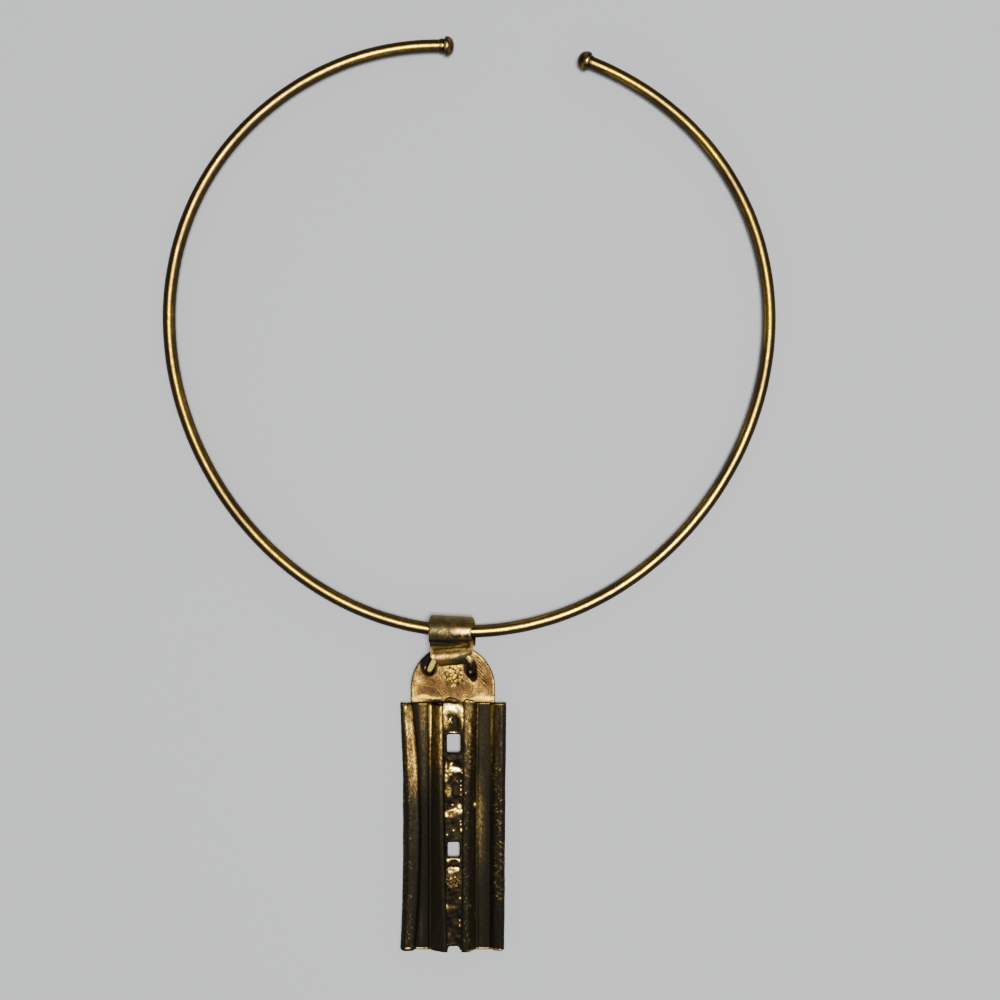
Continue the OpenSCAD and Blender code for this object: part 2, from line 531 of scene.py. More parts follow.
@dataclass(frozen=True)
class Mark:
    """A raised, sunken, worn or stained spot on the pendant's face, or a spot of painted highlight or
    painted shade.

    Args:
        across: place of its middle from the pendant's axis.
        down: place of its middle from the top of the fluted panels.
        wide: half its width.
        long: half its length.
        rise: height at its middle, negative for a dent.
        wear: how worn the metal is there, which can also paint a highlight or a shade, or None to leave it
            as it is.
        turn: degrees that its length leans to the left at its lower end.
        edge: how steep its sides are, 1 for a soft hill and 3 for a flat top.
    """

    across: float
    down: float
    wide: float
    long: float
    rise: float = 0.0
    wear: float | None = None
    turn: float = 0.0
    edge: float = 1.0

    def press(self, across: Array, down: Array, face: Face) -> None:
        """Presses the mark into a face.

        Args:
            across: place of each point across the pendant.
            down: place of each point down the pendant.
            face: the side of the sheet that takes the mark.
        """
        lean = math.radians(self.turn)
        x, y = across - self.across, down - self.down
        u = (x * math.cos(lean) + y * math.sin(lean)) / self.wide
        v = (y * math.cos(lean) - x * math.sin(lean)) / self.long
        share = np.exp(-((u * u + v * v) ** self.edge))
        face.relief += self.rise * share
        if self.wear is not None:
            face.wear += (self.wear - face.wear) * share


class Bench:
    """The node tree of one finish, with short ways to add what finishes share."""

    def __init__(self, name: str) -> None:
        """Starts an empty tree.

        Args:
            name: name of the material.
        """
        self.material = bpy.data.materials.new(name)
        self.material.use_nodes = True
        self.tree = self.material.node_tree
        self.tree.nodes.clear()

    def add(self, kind: str, **settings: object) -> bpy.types.Node:
        """Adds a node.

        Args:
            kind: type of the node.
            settings: its properties by name.

        Returns:
            The new node.
        """
        node = self.tree.nodes.new(kind)
        for key, value in settings.items():
            setattr(node, key, value)
        return node

    def feed(self, socket: Socket, value: object) -> None:
        """Links another node's output to a socket, or sets the socket's own value.

        Args:
            socket: the input that is fed.
            value: an output of another node, or a plain value.
        """
        if isinstance(value, Socket):
            self.tree.links.new(value, socket)
        else:
            socket.default_value = value

    def read(self, attribute: str, output: str) -> Socket:
        """One of the marks that the mesh carries."""
        return self.add("ShaderNodeAttribute", attribute_name=attribute).outputs[output]

    def sums(self, kind: str, a: object, b: object, c: object = 0.0) -> Socket:
        """Works out a sum of two or three numbers.

        Args:
            kind: the sum, such as MULTIPLY or MULTIPLY_ADD.
            a: first number, or the output that gives it.
            b: second number.
            c: third number, where the sum has one.

        Returns:
            The output that holds the sum.
        """
        node = self.add("ShaderNodeMath", operation=kind)
        for socket, value in zip(node.inputs, (a, b, c)):
            self.feed(socket, value)
        return node.outputs[0]

    def stretched(self, lay: Socket, across: float, along: float) -> Socket:
        """Scales the lay so that marks come out as wide and long as asked.

        Args:
            lay: the lay of the mesh.
            across: width of the marks.
            along: length of the marks.

        Returns:
            The scaled lay.
        """
        node = self.add("ShaderNodeVectorMath", operation="MULTIPLY")
        self.feed(node.inputs[0], lay)
        node.inputs[1].default_value = (1 / across, 1 / along, 1 / across)
        return node.outputs[0]

    def clouds(self, place: Socket, layers: float = 3.0) -> Socket:
        """Makes cloudy values about one half.

        Args:
            place: where the clouds are read, one cloud to each unit.
            layers: number of finer layers in them.

        Returns:
            The output that holds the values.
        """
        node = self.add("ShaderNodeTexNoise", noise_dimensions="3D")
        self.feed(node.inputs["Vector"], place)
        node.inputs["Scale"].default_value = 1.0
        node.inputs["Detail"].default_value = layers
        return node.outputs["Fac"]

    def graded(self, value: Socket, low: float, high: float) -> Socket:
        """Turns a value from 0 to 1 into a number of another range.

        Args:
            value: the output that holds the value.
            low: the number where the value is 0.
            high: the number where it is 1.

        Returns:
            The output that holds the number.
        """
        node = self.add("ShaderNodeMapRange")
        for name, given in (("Value", value), ("To Min", low), ("To Max", high)):
            self.feed(node.inputs[name], given)
        return node.outputs["Result"]

    def ramp(self, value: Socket, stops: list[tuple[float, Colour]]) -> Socket:
        """Turns a value from 0 to 1 into a colour.

        Args:
            value: the output that holds the value.
            stops: the values at which a colour is reached, with the colours.

        Returns:
            The output that holds the colour.
        """
        node = self.add("ShaderNodeValToRGB")
        self.feed(node.inputs["Fac"], value)
        marks = node.color_ramp.elements
        while len(marks) < len(stops):
            marks.new(0.5)
        for mark, (place, colour) in zip(marks, stops):
            mark.position = place
            mark.color = (*colour, 1.0)
        return node.outputs["Color"]

    def bump(self, height: Socket, depth: float) -> Socket:
        """Bends the normal for fine relief.

        Args:
            height: the output that holds a height from 0 to 1.
            depth: what a height of 1 stands for.

        Returns:
            The output that holds the bent normal.
        """
        node = self.add("ShaderNodeBump")
        node.inputs["Distance"].default_value = depth * MM
        self.feed(node.inputs["Height"], height)
        return node.outputs["Normal"]


@dataclass(frozen=True)
class Finish:
    """One metal surface, from dark tarnish to bare metal.

    Args:
        name: name of the material.
        slot: slot of the record that it belongs to; not used.
        tarnish: colour where wear is 0.
        brown: colour of thin tarnish, where wear is about a third.
        gold: colour where the tarnish is nearly gone, at about two thirds.
        bare: colour where wear is 1.
        dull: roughness where it is tarnished.
        gloss: roughness where it is bare.
        patch: width of the patches that vary the wear.
        patchy: how much they vary it.
        speck: width of the small specks.
        speckled: how much they vary the wear.
        streak: how many times longer than wide both are, along the lay.
        grain: width of the fine unevenness.
        grain_depth: height of it.
        metal: how metallic it looks where it is bare.
        tarnished_metal: how metallic it looks where it is tarnished.
        metal_rise: how many times sooner than the colour that change comes.
        specular: strength of the shine that isn't metallic.
        steps: wear at which it has each of its four colours.
    """

    name: str
    slot: Slot
    tarnish: Colour
    brown: Colour
    gold: Colour
    bare: Colour
    dull: float
    gloss: float
    patch: float = 1.6
    patchy: float = 0.5
    speck: float = 0.28
    speckled: float = 0.5
    streak: float = 1.0
    grain: float = 0.16
    grain_depth: float = 0.01
    metal: float = 1.0
    tarnished_metal: float = 0.7
    metal_rise: float = 3.0
    specular: float = 0.15
    steps: tuple[float, float, float, float] = (0.0, 0.35, 0.7, 1.0)

    def material(self) -> bpy.types.Material:
        """Builds the material, or finds it where it is already built."""
        made = bpy.data.materials.get(self.name)
        return made if made else self.build()

    def build(self) -> bpy.types.Material:
        """Joins the marks of the mesh and the specks into colour, gloss and fine relief.

        Returns:
            The new material.
        """
        bench = Bench(self.name)
        lay = bench.read("lay", "Vector")
        worn = bench.read("wear", "Fac")
        for width, amount in ((self.patch, self.patchy), (self.speck, self.speckled)):
            cloud = bench.clouds(bench.stretched(lay, width, width * self.streak))
            # A cloud is about one half, so the share is about 1.
            share = bench.sums("MULTIPLY_ADD", cloud, 4 * amount, 1 - 2 * amount)
            worn = bench.sums("MULTIPLY", worn, share)
        stops = list(zip(self.steps, (self.tarnish, self.brown, self.gold, self.bare)))
        shader = bench.add("ShaderNodeBsdfPrincipled")
        bench.feed(shader.inputs["Base Color"], bench.ramp(worn, stops))
        thinned = bench.sums("MULTIPLY", worn, self.metal_rise)
        bench.feed(shader.inputs["Metallic"], bench.graded(thinned, self.tarnished_metal, self.metal))
        bench.feed(shader.inputs["Roughness"], bench.graded(worn, self.dull, self.gloss))
        bench.feed(shader.inputs["Specular IOR Level"], self.specular)
        grain = bench.clouds(bench.stretched(lay, self.grain, self.grain * self.streak))
        bench.feed(shader.inputs["Normal"], bench.bump(grain, self.grain_depth))
        output = bench.add("ShaderNodeOutputMaterial")
        bench.feed(output.inputs["Surface"], shader.outputs["BSDF"])
        return bench.material


WIRE = Finish(
    "drawn_wire", Slot.WIRE,
    tarnish=(0.012, 0.008, 0.003), brown=(0.08, 0.05, 0.02),
    gold=(0.45, 0.27, 0.05), bare=(0.86, 0.52, 0.03),
    dull=0.45, gloss=0.22, patch=2.4, patchy=0.2, speck=0.3, speckled=0.25, streak=4.0,
    grain=0.14, grain_depth=0.004,
)
BALL = Finish(
    "ball_brass", Slot.BALL,
    tarnish=(0.012, 0.007, 0.004), brown=(0.05, 0.03, 0.014),
    gold=(0.26, 0.15, 0.045), bare=(0.9, 0.6, 0.13),
    dull=0.36, gloss=0.25, patch=1.2, patchy=0.3, speckled=0.3, grain_depth=0.004,
)
BAIL = Finish(
    "bail_strip", Slot.BAIL,
    tarnish=(0.014, 0.011, 0.006), brown=(0.085, 0.068, 0.03),
    gold=(0.38, 0.21, 0.05), bare=(1.0, 0.645, 0.165),
    dull=0.55, gloss=0.28, patch=1.5, patchy=0.22, speck=0.35, speckled=0.3, grain=0.25, grain_depth=0.012,
)
LINK = Finish(
    "link_wire", Slot.LINK,
    tarnish=(0.006, 0.005, 0.003), brown=(0.06, 0.04, 0.014),
    gold=(0.42, 0.26, 0.05), bare=(1.0, 0.71, 0.12),
    dull=0.5, gloss=0.3, patch=0.9, patchy=0.15, speckled=0.3, grain_depth=0.008, metal=0.4,
)
PLATE = Finish(
    "plate_satin", Slot.PENDANT,
    tarnish=(0.004, 0.0035, 0.003), brown=(0.045, 0.024, 0.009),
    gold=(0.13, 0.068, 0.02), bare=(0.72, 0.45, 0.06),
    dull=0.55, gloss=0.42, patch=1.8, patchy=0.25, speck=0.2, speckled=0.5, grain=0.16, grain_depth=0.025,
)
FLUTES = Finish(
    "flute_patina", Slot.PENDANT,
    tarnish=(0.009, 0.0082, 0.0055), brown=(0.042, 0.032, 0.016),
    gold=(0.2, 0.115, 0.026), bare=(0.66, 0.42, 0.09),
    dull=0.68, gloss=0.4, patch=1.0, patchy=0.3, speck=0.2, speckled=0.52, streak=3.5,
    grain=0.18, grain_depth=0.02,
)
RUN_METAL = Finish(
    "run_metal", Slot.PENDANT,
    tarnish=(0.005, 0.0042, 0.0028), brown=(0.05, 0.032, 0.011),
    gold=(0.38, 0.22, 0.042), bare=(1.0, 0.78, 0.2),
    dull=0.55, gloss=0.27, patch=0.9, patchy=0.35, speck=0.3, speckled=0.5, grain=0.3, grain_depth=0.015,
)


@dataclass
class NeckRing:
    """The neck wire, bent by hand into an open ring.

    Args:
        radius: mean radius of its centre line.
        wire: diameter of the wire.
        oval: extra radius at the sides.
        oval_angle: angle where the oval is widest.
        lobes: height of the three soft bulges that bending left.
        lobe_angle: angle of one bulge.
        curl: how far the left end turns inwards.
        curl_from: angle where that turn begins, in degrees from -Y.
        left_end: angle of the left end.
        right_end: angle of the right end.
        height: height of the centre line.
        painted_highlight: the point above the ring that the wire's painted highlight faces.
        dull_angle: angle of the stretch that is less worn.
        dull_reach: half the length of that stretch, in degrees.
        dull_share: how much less worn it is.
        sunk: how far the worn metal stays below the wire's full radius.
        nick_count: number of small dents.
        step: distance between the rings of points.
        around: number of points in a ring.
    """

    radius: float = 64.05
    wire: float = 2.8
    oval: float = 0.42
    oval_angle: float = 88.0
    lobes: float = 0.92
    lobe_angle: float = -2.0
    curl: float = 1.3
    curl_from: float = 150.0
    left_end: float = -175.6
    right_end: float = 156.8
    height: float = 2.1
    painted_highlight: tuple[float, float, float] = (30.0, -40.0, 440.0)
    dull_angle: float = -122.0
    dull_reach: float = 26.0
    dull_share: float = 0.22
    sunk: float = 0.024
    nick_count: int = 150
    step: float = 0.36
    around: int = 32

    def centre(self, angles: Array) -> Array:
        """Finds points of the centre line.

        Args:
            angles: their angles in degrees, counted from -Y.

        Returns:
            A point for each angle.
        """
        turned = np.radians(angles)
        bend = np.clip((angles + self.curl_from) / (self.left_end + self.curl_from), 0.0, None)
        reach = self.radius + self.oval * np.cos(2 * np.radians(angles - self.oval_angle))
        reach = reach + self.lobes * np.cos(3 * np.radians(angles - self.lobe_angle))
        reach = reach - self.curl * bend**2
        level = np.full_like(turned, self.height)
        return np.stack([reach * np.sin(turned), -reach * np.cos(turned), level], -1)

    def highlight_way(self, places: Array) -> Array:
        """Direction in which the wire's painted highlight faces at each place."""
        return unit(np.array(self.painted_highlight) - places)

    def way(self, angle: float) -> Array:
        """Direction of the wire at an angle, towards the right end."""
        before, after = self.centre(angle + np.array([-0.5, 0.5]))
        return unit(after - before)

    def nicks(self, along: Array, turn: Array) -> Array:
        """Strews small dents of wear over the wire's upper side.

        Args:
            along: place of each point along the wire.
            turn: angle of each point round the wire.

        Returns:
            A depth for each point.
        """
        draw = np.random.default_rng(41)
        depth = np.zeros(np.broadcast(along, turn).shape)
        for _ in range(self.nick_count):
            place = draw.uniform(along.min(), along.max())
            side = math.radians(draw.uniform(20, 160))
            long, wide = draw.uniform(0.12, 0.55), draw.uniform(0.12, 0.5)
            rows = np.abs(along[:, 0] - place) < 3 * long
            off = (along[rows] - place) / long
            turned = (turn - side) * self.wire / 2 / wide
            depth[rows] += draw.uniform(0.01, 0.04) * np.exp(-(off**2) - turned**2)
        return depth

    @staticmethod
    def worn(highlight_facing: Array, side: Array, rise: Array) -> Array:
        """Works out the wear, with light and shade painted in: a painted highlight where the wire faces
        the highlight point, a thin painted reflection on its inner side, and brown sides that are tarnish
        and painted shade.

        Args:
            highlight_facing: how nearly each point faces the point of the painted highlight.
            side: how far it looks outwards.
            rise: how far it looks up.

        Returns:
            How worn each point is.
        """
        soft = 0.11 * ease((highlight_facing - 0.3) / 0.55)
        bright = 0.77 * ease((highlight_facing - 0.9) / 0.075)
        inner = hill((side, -0.72, 0.16, 2)) * (rise > 0)
        return 0.05 + soft + bright + 0.28 * inner

    def build(self) -> bpy.types.Object:
        """Sweeps the wire, a little uneven, and dresses it.

        Returns:
            The new object.
        """
        count = round((self.right_end - self.left_end) * math.radians(self.radius) / self.step)
        angles = np.linspace(self.left_end, self.right_end, count + 1)
        line = self.centre(angles)
        ways = unit(np.gradient(line, axis=0))
        outward = np.stack([ways[:, 1], -ways[:, 0], np.zeros(len(ways))], -1)
        along = np.concatenate([[0.0], np.cumsum(np.linalg.norm(np.diff(line, axis=0), axis=1))])[:, None]
        turn = (np.arange(self.around) * TURN / self.around - TURN / 4)[None, :]
        side, rise = np.cos(turn), np.sin(turn)
        half = self.wire / 2
        lay = np.stack(np.broadcast_arrays(half * side, along, half * rise), -1)
        swell = np.abs(Ripple(7, 9.0, 0.012).at(lay)) + np.abs(Ripple(8, 2.2, 0.005).at(lay))
        reach = half - self.sunk - swell - self.nicks(along, turn)
        facing = side[..., None] * outward[:, None] + rise[..., None] * np.array([0.0, 0.0, 1.0])
        rows = line[:, None] + reach[..., None] * facing
        # The wire's painted highlight, painted reflection and painted shade follow how nearly each point
        # faces the highlight point.
        highlight_facing = (facing * self.highlight_way(line)[:, None]).sum(-1)
        wear = self.worn(highlight_facing, side, rise) * (1 + Ripple(9, 14.0, 0.12).at(lay))
        wear = wear * (1 - self.dull_share * hill((angles, self.dull_angle, self.dull_reach, 4))[:, None])
        skin = Skin()
        skin.tube(rows, wear, lay)
        return skin.piece("neck_wire", WIRE, "neck_ring")


@dataclass
class BallEnd:
    """A flattened ball on one end of the wire, with a groove and a thin collar.

    Args:
        name: name of the piece.
        node: the plain solid that it replaces.
        angle: angle of the wire's end.
        outward: 1 at the right end, -1 at the left.
        seed: number that picks its unevenness.
        back: place of the groove behind the ball, from the wire's end.
        crest: place of the ball's widest part.
        ball: diameter of the ball.
        length: its length along the wire.
        wire: diameter of the wire that the collar holds.
        collar_length: length of the collar.
        collar: how thick the collar stands on the wire.
        socket: depth that the wire goes in.
        around: number of points round the axis.
    """

    name: str
    node: str
    angle: float
    outward: int
    seed: int
    back: float
    crest: float
    ball: float = 4.2
    length: float = 2.7
    wire: float = 2.8
    collar_length: float = 0.45
    collar: float = 0.14
    socket: float = 1.6
    around: int = 48

    def profile(self) -> Array:
        """Draws half the outline, from the collar to the tip.

        Returns:
            Rows of place along the axis and radius.
        """
        foot, lip, widest = -self.socket, self.wire / 2 + self.collar, self.ball / 2 - 0.01
        tip = foot + self.collar_length + self.length
        sleeve = [
            (foot, lip - 0.13), (foot + 0.02, lip - 0.07), (foot + 0.08, lip - 0.03), (foot + 0.2, lip),
            (self.back - 0.14, lip + 0.04), (self.back - 0.07, lip + 0.03), (self.back, lip - 0.04),
        ]
        turn = np.linspace(0.0, math.pi / 2, 16)[:-1]
        shoulder = np.column_stack([
            self.crest - (self.crest - self.back - 0.04) * np.cos(turn),
            lip + (widest - lip) * np.sin(turn),
        ])
        turn = np.linspace(0.0, math.pi / 2, 30)[:-1]
        dome = np.column_stack([
            self.crest + (tip - self.crest) * np.sin(turn), widest * np.cos(turn) ** 0.9,
        ])
        return np.concatenate([np.array(sleeve), shoulder, dome])

    def build(self, ring: NeckRing) -> bpy.types.Object:
        """Turns the ball round the wire's axis.

        Args:
            ring: the neck wire that carries it.

        Returns:
            The new object.
        """
        axis = ring.way(self.angle) * self.outward
        side = unit(np.cross(axis, [0.0, 0.0, 1.0]))
        up = np.cross(side, axis)
        outline = self.profile()
        turn = np.arange(self.around)[None, :] * TURN / self.around
        along, reach = outline[:, :1], outline[:, 1:]
        flat = np.stack(np.broadcast_arrays(reach * np.cos(turn), along, reach * np.sin(turn)), -1)
        dent = np.abs(Ripple(self.seed, 2.0, 0.015).at(flat))
        scale = 1 - dent[..., None] / (self.ball / 2)
        spread = flat[..., :1] * side + flat[..., 2:] * up
        rows = ring.centre(np.array([self.angle])) + axis * flat[..., 1:2] + spread * scale
        highlight_facing = (spread / reach[..., None] * ring.highlight_way(rows[:1].mean(1))).sum(-1)
        past_crest, past_groove = along - self.crest, along - self.back
        # A painted highlight on the crest and along the collar, a painted warm sheen beyond it and a dark
        # groove.
        glint = hill((past_crest, -0.2, 0.45, 2)) * ease((highlight_facing - 0.88) / 0.08)
        sleeve = (past_groove < 0) * ease((highlight_facing - 0.92) / 0.06)
        groove = hill((past_groove, 0.02, 0.1, 2))
        glow = hill((past_crest, 0.55, 0.42, 2)) * ease((highlight_facing - 0.35) / 0.45)
        worn = 0.22 + 0.44 * glow + Ripple(self.seed + 1, 1.5, 0.06).at(flat)
        worn = worn * (1 - 0.5 * ease((past_crest - 0.8) / 0.7))
        wear = mix(worn, 1.0, np.maximum(glint, sleeve)) * (1 - 0.9 * groove)
        skin = Skin()
        skin.tube(rows, wear, flat)
        return skin.piece(self.name, BALL, self.node)


@dataclass
class Bail:
    """The bail: one strip in a large roll round the neck wire and a small roll below it.

    Args:
        strip: thickness of the strip.
        x: place of its middle.
        loop_y: place of the large roll's axis.
        loop_z: height of that axis.
        loop_d: outer diameter of the large roll.
        loop_arc: angles where its arc begins and ends, in degrees from -Y.
        loop_turn: degrees that the large roll is turned, seen from above.
        loop_half: half the strip's width there.
        roll_y: place of the small roll's axis.
        roll_z: height of that axis.
        roll_d: outer diameter of the small roll.
        roll_arc: angles where its arc begins and ends.
        roll_turn: degrees that the small roll is turned, seen from above.
        roll_half: half the strip's width there.
        valley_half: half its width where it leaves the large roll.
        nape_waist: how much narrower each side of the large roll is towards the nape.
        left_cut: how much of the small roll's lower side is cut away on the left.
        right_cut: the same on the right.
        corner_worn: how far the large roll's right corner is worn away.
        pull: how stiffly the strip leaves one roll and enters the other.
        seam_y: place of the solder between the rolls.
        seam_z: height of the solder.
        seam_reach: half the thickness of the solder.
        seam_half: half the length of the solder.
        seam_taper: half the length at which its ends would run out to nothing.
        back_wear: how worn the inner side of the strip is.
    """

    strip: float = 0.6
    x: float = -3.5
    loop_y: float = -64.3
    loop_z: float = 3.2
    loop_d: float = 6.4
    loop_arc: tuple[float, float] = (-8.0, -323.0)
    loop_turn: float = -3.1
    loop_half: float = 4.98
    roll_y: float = -69.45
    roll_z: float = 4.45
    roll_d: float = 4.3
    roll_arc: tuple[float, float] = (146.0, -158.0)
    roll_turn: float = 4.0
    roll_half: float = 4.5
    valley_half: float = 4.85
    nape_waist: float = 0.5
    left_cut: float = 1.62
    right_cut: float = 1.5
    corner_worn: float = 0.9
    pull: float = 0.9
    seam_y: float = -67.45
    seam_z: float = 3.62
    seam_reach: float = 0.42
    seam_half: float = 4.1
    seam_taper: float = 4.12
    back_wear: float = 0.12

    @staticmethod
    def arc(y: float, z: float, reach: float, angles: Array) -> Array:
        """Draws a roll, seen from the strip's edge.

        Args:
            y: place of its axis.
            z: height of its axis.
            reach: radius of the strip's middle line.
            angles: angles of the points in degrees.

        Returns:
            Rows of distance towards -Y and height.
        """
        turned = np.radians(angles)
        return np.column_stack([-y + reach * np.cos(turned), z + reach * np.sin(turned)])

    def heading(self, angle: float) -> Array:
        """How strongly and which way the strip runs where it leaves or enters a roll."""
        return np.array([math.sin(math.radians(angle)), -math.cos(math.radians(angle))]) * self.pull

    def path(self) -> tuple[Array, Array, Array]:
        """Draws the strip's middle line, seen from its edge.

        Returns:
            Rows of distance towards -Y and height, the roll that each belongs to from 0 for the
            large one to 1 for the small one, and the angle round that roll in degrees.
        """
        big, tail = np.linspace(*self.loop_arc, 96), np.linspace(*self.roll_arc, 78)
        loop = self.arc(self.loop_y, self.loop_z, (self.loop_d - self.strip) / 2, big)
        roll = self.arc(self.roll_y, self.roll_z, (self.roll_d - self.strip) / 2, tail)
        leave, enter = self.heading(big[-1]), self.heading(tail[0])
        t = np.linspace(0, 1, 15)[1:-1, None]
        valley = (
            (2 * t**3 - 3 * t**2 + 1) * loop[-1] + (t**3 - 2 * t**2 + t) * leave
            + (3 * t**2 - 2 * t**3) * roll[0] + (t**3 - t**2) * enter
        )
        line = np.concatenate([loop, valley, roll])
        part = np.concatenate([np.zeros(len(big)), t[:, 0], np.ones(len(tail))])
        angle = np.concatenate([big, np.linspace(big[-1] + 360, tail[0], len(t)), tail])
        return line, part, angle

    def edges(self, line: Array, part: Array, angle: Array) -> tuple[Array, Array]:
        """Cuts the strip to its width.

        Args:
            line: the strip's middle line.
            part: the roll that each point of it belongs to.
            angle: its angle round that roll.

        Returns:
            Places of the left and the right edge, from the strip's middle.
        """
        big, small = part <= 0, part >= 1
        nape = hill((angle, -170, 38, 2)) * big
        half = np.where(
            big, self.loop_half - self.nape_waist * nape, mix(self.valley_half, self.roll_half, part)
        )
        corner = hill((line[:, 0], 64.4, 1.5, 4)) * big * (line[:, 1] > self.loop_z)
        left = -half + self.left_cut * ease((96 - angle) / 46) * small
        right = half - self.right_cut * ease((114 - angle) / 42) * small - self.corner_worn * corner
        return left, right

    def build(self) -> bpy.types.Object:
        """Bends the strip and dresses it with its worn band, its painted highlights and painted shade, and
        its dull upper side.

        Returns:
            The new object.
        """
        line, part, angle = (self.denser(a) for a in self.path())
        left, right = self.edges(line, part, angle)
        across = stations(1.0, 0.018, 0.02)[None, :]
        lean = np.radians(mix(self.loop_turn, self.roll_turn, ease(part)))[:, None]
        place = mix(left[:, None], right[:, None], across)
        x = self.x + place * np.cos(lean)
        y = -line[:, :1] + place * np.sin(lean)
        middle = np.stack(np.broadcast_arrays(x, y, line[:, 1:]), -1)
        run = np.concatenate([[0.0], np.cumsum(np.linalg.norm(np.diff(line, axis=0), axis=1))])[:, None]
        lay = np.stack(np.broadcast_arrays(place, run, np.zeros_like(place)), -1)
        front, back = self.faces(middle, place, lay, part[:, None])
        skin = Skin()
        skin.sheet(middle, self.strip, front, back)
        self.bead(skin)
        return skin.piece("bail_strip", BAIL, "bail")

    @staticmethod
    def denser(values: Array) -> Array:
        """Puts one more value between each two of a line.

        Args:
            values: the values, one or a row of them for each point of the line.

        Returns:
            The old values with the new ones between.
        """
        old = np.arange(len(values))
        new = np.linspace(0, len(values) - 1, 2 * len(values) - 1)
        if values.ndim == 1:
            return np.interp(new, old, values)
        return np.column_stack([np.interp(new, old, values[:, k]) for k in range(values.shape[1])])

    @staticmethod
    def worn(middle: Array, place: Array, part: Array) -> Array:
        """Works out the wear of the side that looks out of the rolls, with painted highlights and painted
        shade in it.

        Args:
            middle: the strip's middle surface.
            place: place of each point across the strip.
            part: the roll that each row belongs to.

        Returns:
            How worn each point is.
        """
        y, z = -middle[..., 1], middle[..., 2]
        high, big, lower, past_valley = z > 3, part <= 0, part > 0.5, part > 0
        wear = np.full(z.shape, 0.37) + 0.04 * ease((place + 5) / 10)
        # The worn band across the large roll, with a painted highlight in its middle and crumbs of
        # tarnish.
        start = 63.15 + 1.0 * ease((-2.0 - place) / 2.4)
        band = ease((65.75 - y) / 0.5) * ease((y - start) / 0.5) * high * big
        glow = hill((place, 2.4, 2.1, 6), (y, 64.0, 0.65, 4))
        crumbs = hill((place, 2.0, 2.2, 4), (y, 65.05, 0.4, 4))
        mottle = Ripple(25, 1.5, 0.07).at(middle) + Ripple(28, 0.5, 0.055).at(middle)
        wear = wear + band * (0.5 * glow + mottle + 0.01)
        flecks = Ripple(26, 1.4, 0.22).at(middle) + Ripple(29, 0.45, 0.2).at(middle)
        wear = wear + band * crumbs * (flecks - 0.1)
        # Painted shade in the hollow between the rolls.
        shade = ease((y - 65.5) / 0.4) * ease((67.7 - y) / 0.5) * high
        wear = wear * (1 - 0.92 * shade)
        # The small roll, with a slanting painted highlight on its crest, raised further on its upper part,
        # and painted shade on its lower side.
        upper = ease((y - 67.4) / 0.5) * past_valley
        shine = hill((y - 68.6 + 0.24 * place, 0.0, 1.1, 4)) * past_valley * (z > 3.5)
        wear = mix(wear, 0.6, upper * (1 - shine))
        painted_highlight = 0.64 + 0.26 * ease((place - 1.0) / 2.0) + 0.32 * ease((68.9 - y) / 0.9)
        painted_highlight += 0.15 * ease((-0.8 - place) / 2.5) * ease((y - 69.6) / 0.4)
        wear = mix(wear, painted_highlight + Ripple(27, 1.0, 0.07).at(middle), shine)
        low = ease((y - 69.5 + 0.29 * place) / 0.5) * lower
        wear = mix(wear, mix(0.46, 0.15, ease((place + 0.5) / 2.2)), low)
        # The lighter right cheek of the hollow, and a painted highlight on the left end of the small roll.
        cheek = hill((place - 4.5 + 0.57 * (y - 65.9), 0.0, 0.5, 2), (y, 66.95, 1.4, 4)) * high
        wear = mix(wear, 0.46, cheek)
        edge = ease((-place - 3.7) / 0.4) * hill((y, 69.1, 0.95, 2)) * lower
        return mix(wear, 1.35, edge)

    def faces(self, middle: Array, place: Array, lay: Array, part: Array) -> tuple[Face, Face]:
        """Gives the strip's two sides their relief and wear.

        Args:
            middle: the strip's middle surface.
            place: place of each point across the strip.
            lay: the lay of each point.
            part: the roll that each row belongs to.

        Returns:
            The side that looks out of the rolls and the side that looks in.
        """
        y, high = -middle[..., 1], middle[..., 2] > 3
        relief = Ripple(21, 3.2, 0.02).at(middle) + Ripple(22, 1.1, 0.006).at(middle)
        dip = -0.09 * hill((y, 65.5, 0.3, 2), (place, 2.4, 1.2, 2))
        front = Face(np.minimum(relief + dip * high, 0.0), self.worn(middle, place, part), lay)
        hollow = np.minimum(Ripple(23, 2.0, 0.01).at(middle), 0.0)
        return front, Face(hollow, np.full(y.shape, self.back_wear), lay)

    def bead(self, skin: Skin) -> None:
        """Adds the run of solder that closes the strip between its two rolls.

        Args:
            skin: the skins of the bail, which take it.
        """
        turn = np.arange(16) * TURN / 16
        x = np.linspace(-self.seam_half, self.seam_half, 40)
        shape = np.sqrt(np.clip(1 - (x / self.seam_taper) ** 6, 0.02, 1))
        ripple = 1 + Ripple(24, 1.6, 0.08).at(np.stack([x, x * 0, x * 0], -1))
        reach = (self.seam_reach * shape * ripple)[:, None]
        y, z = self.seam_y + reach * np.cos(turn), self.seam_z + reach * np.sin(turn)
        rows = np.stack(np.broadcast_arrays(self.x + x[:, None], y, z), -1)
        skin.tube(rows, np.full(rows.shape[:2], 0.1), rows.copy())


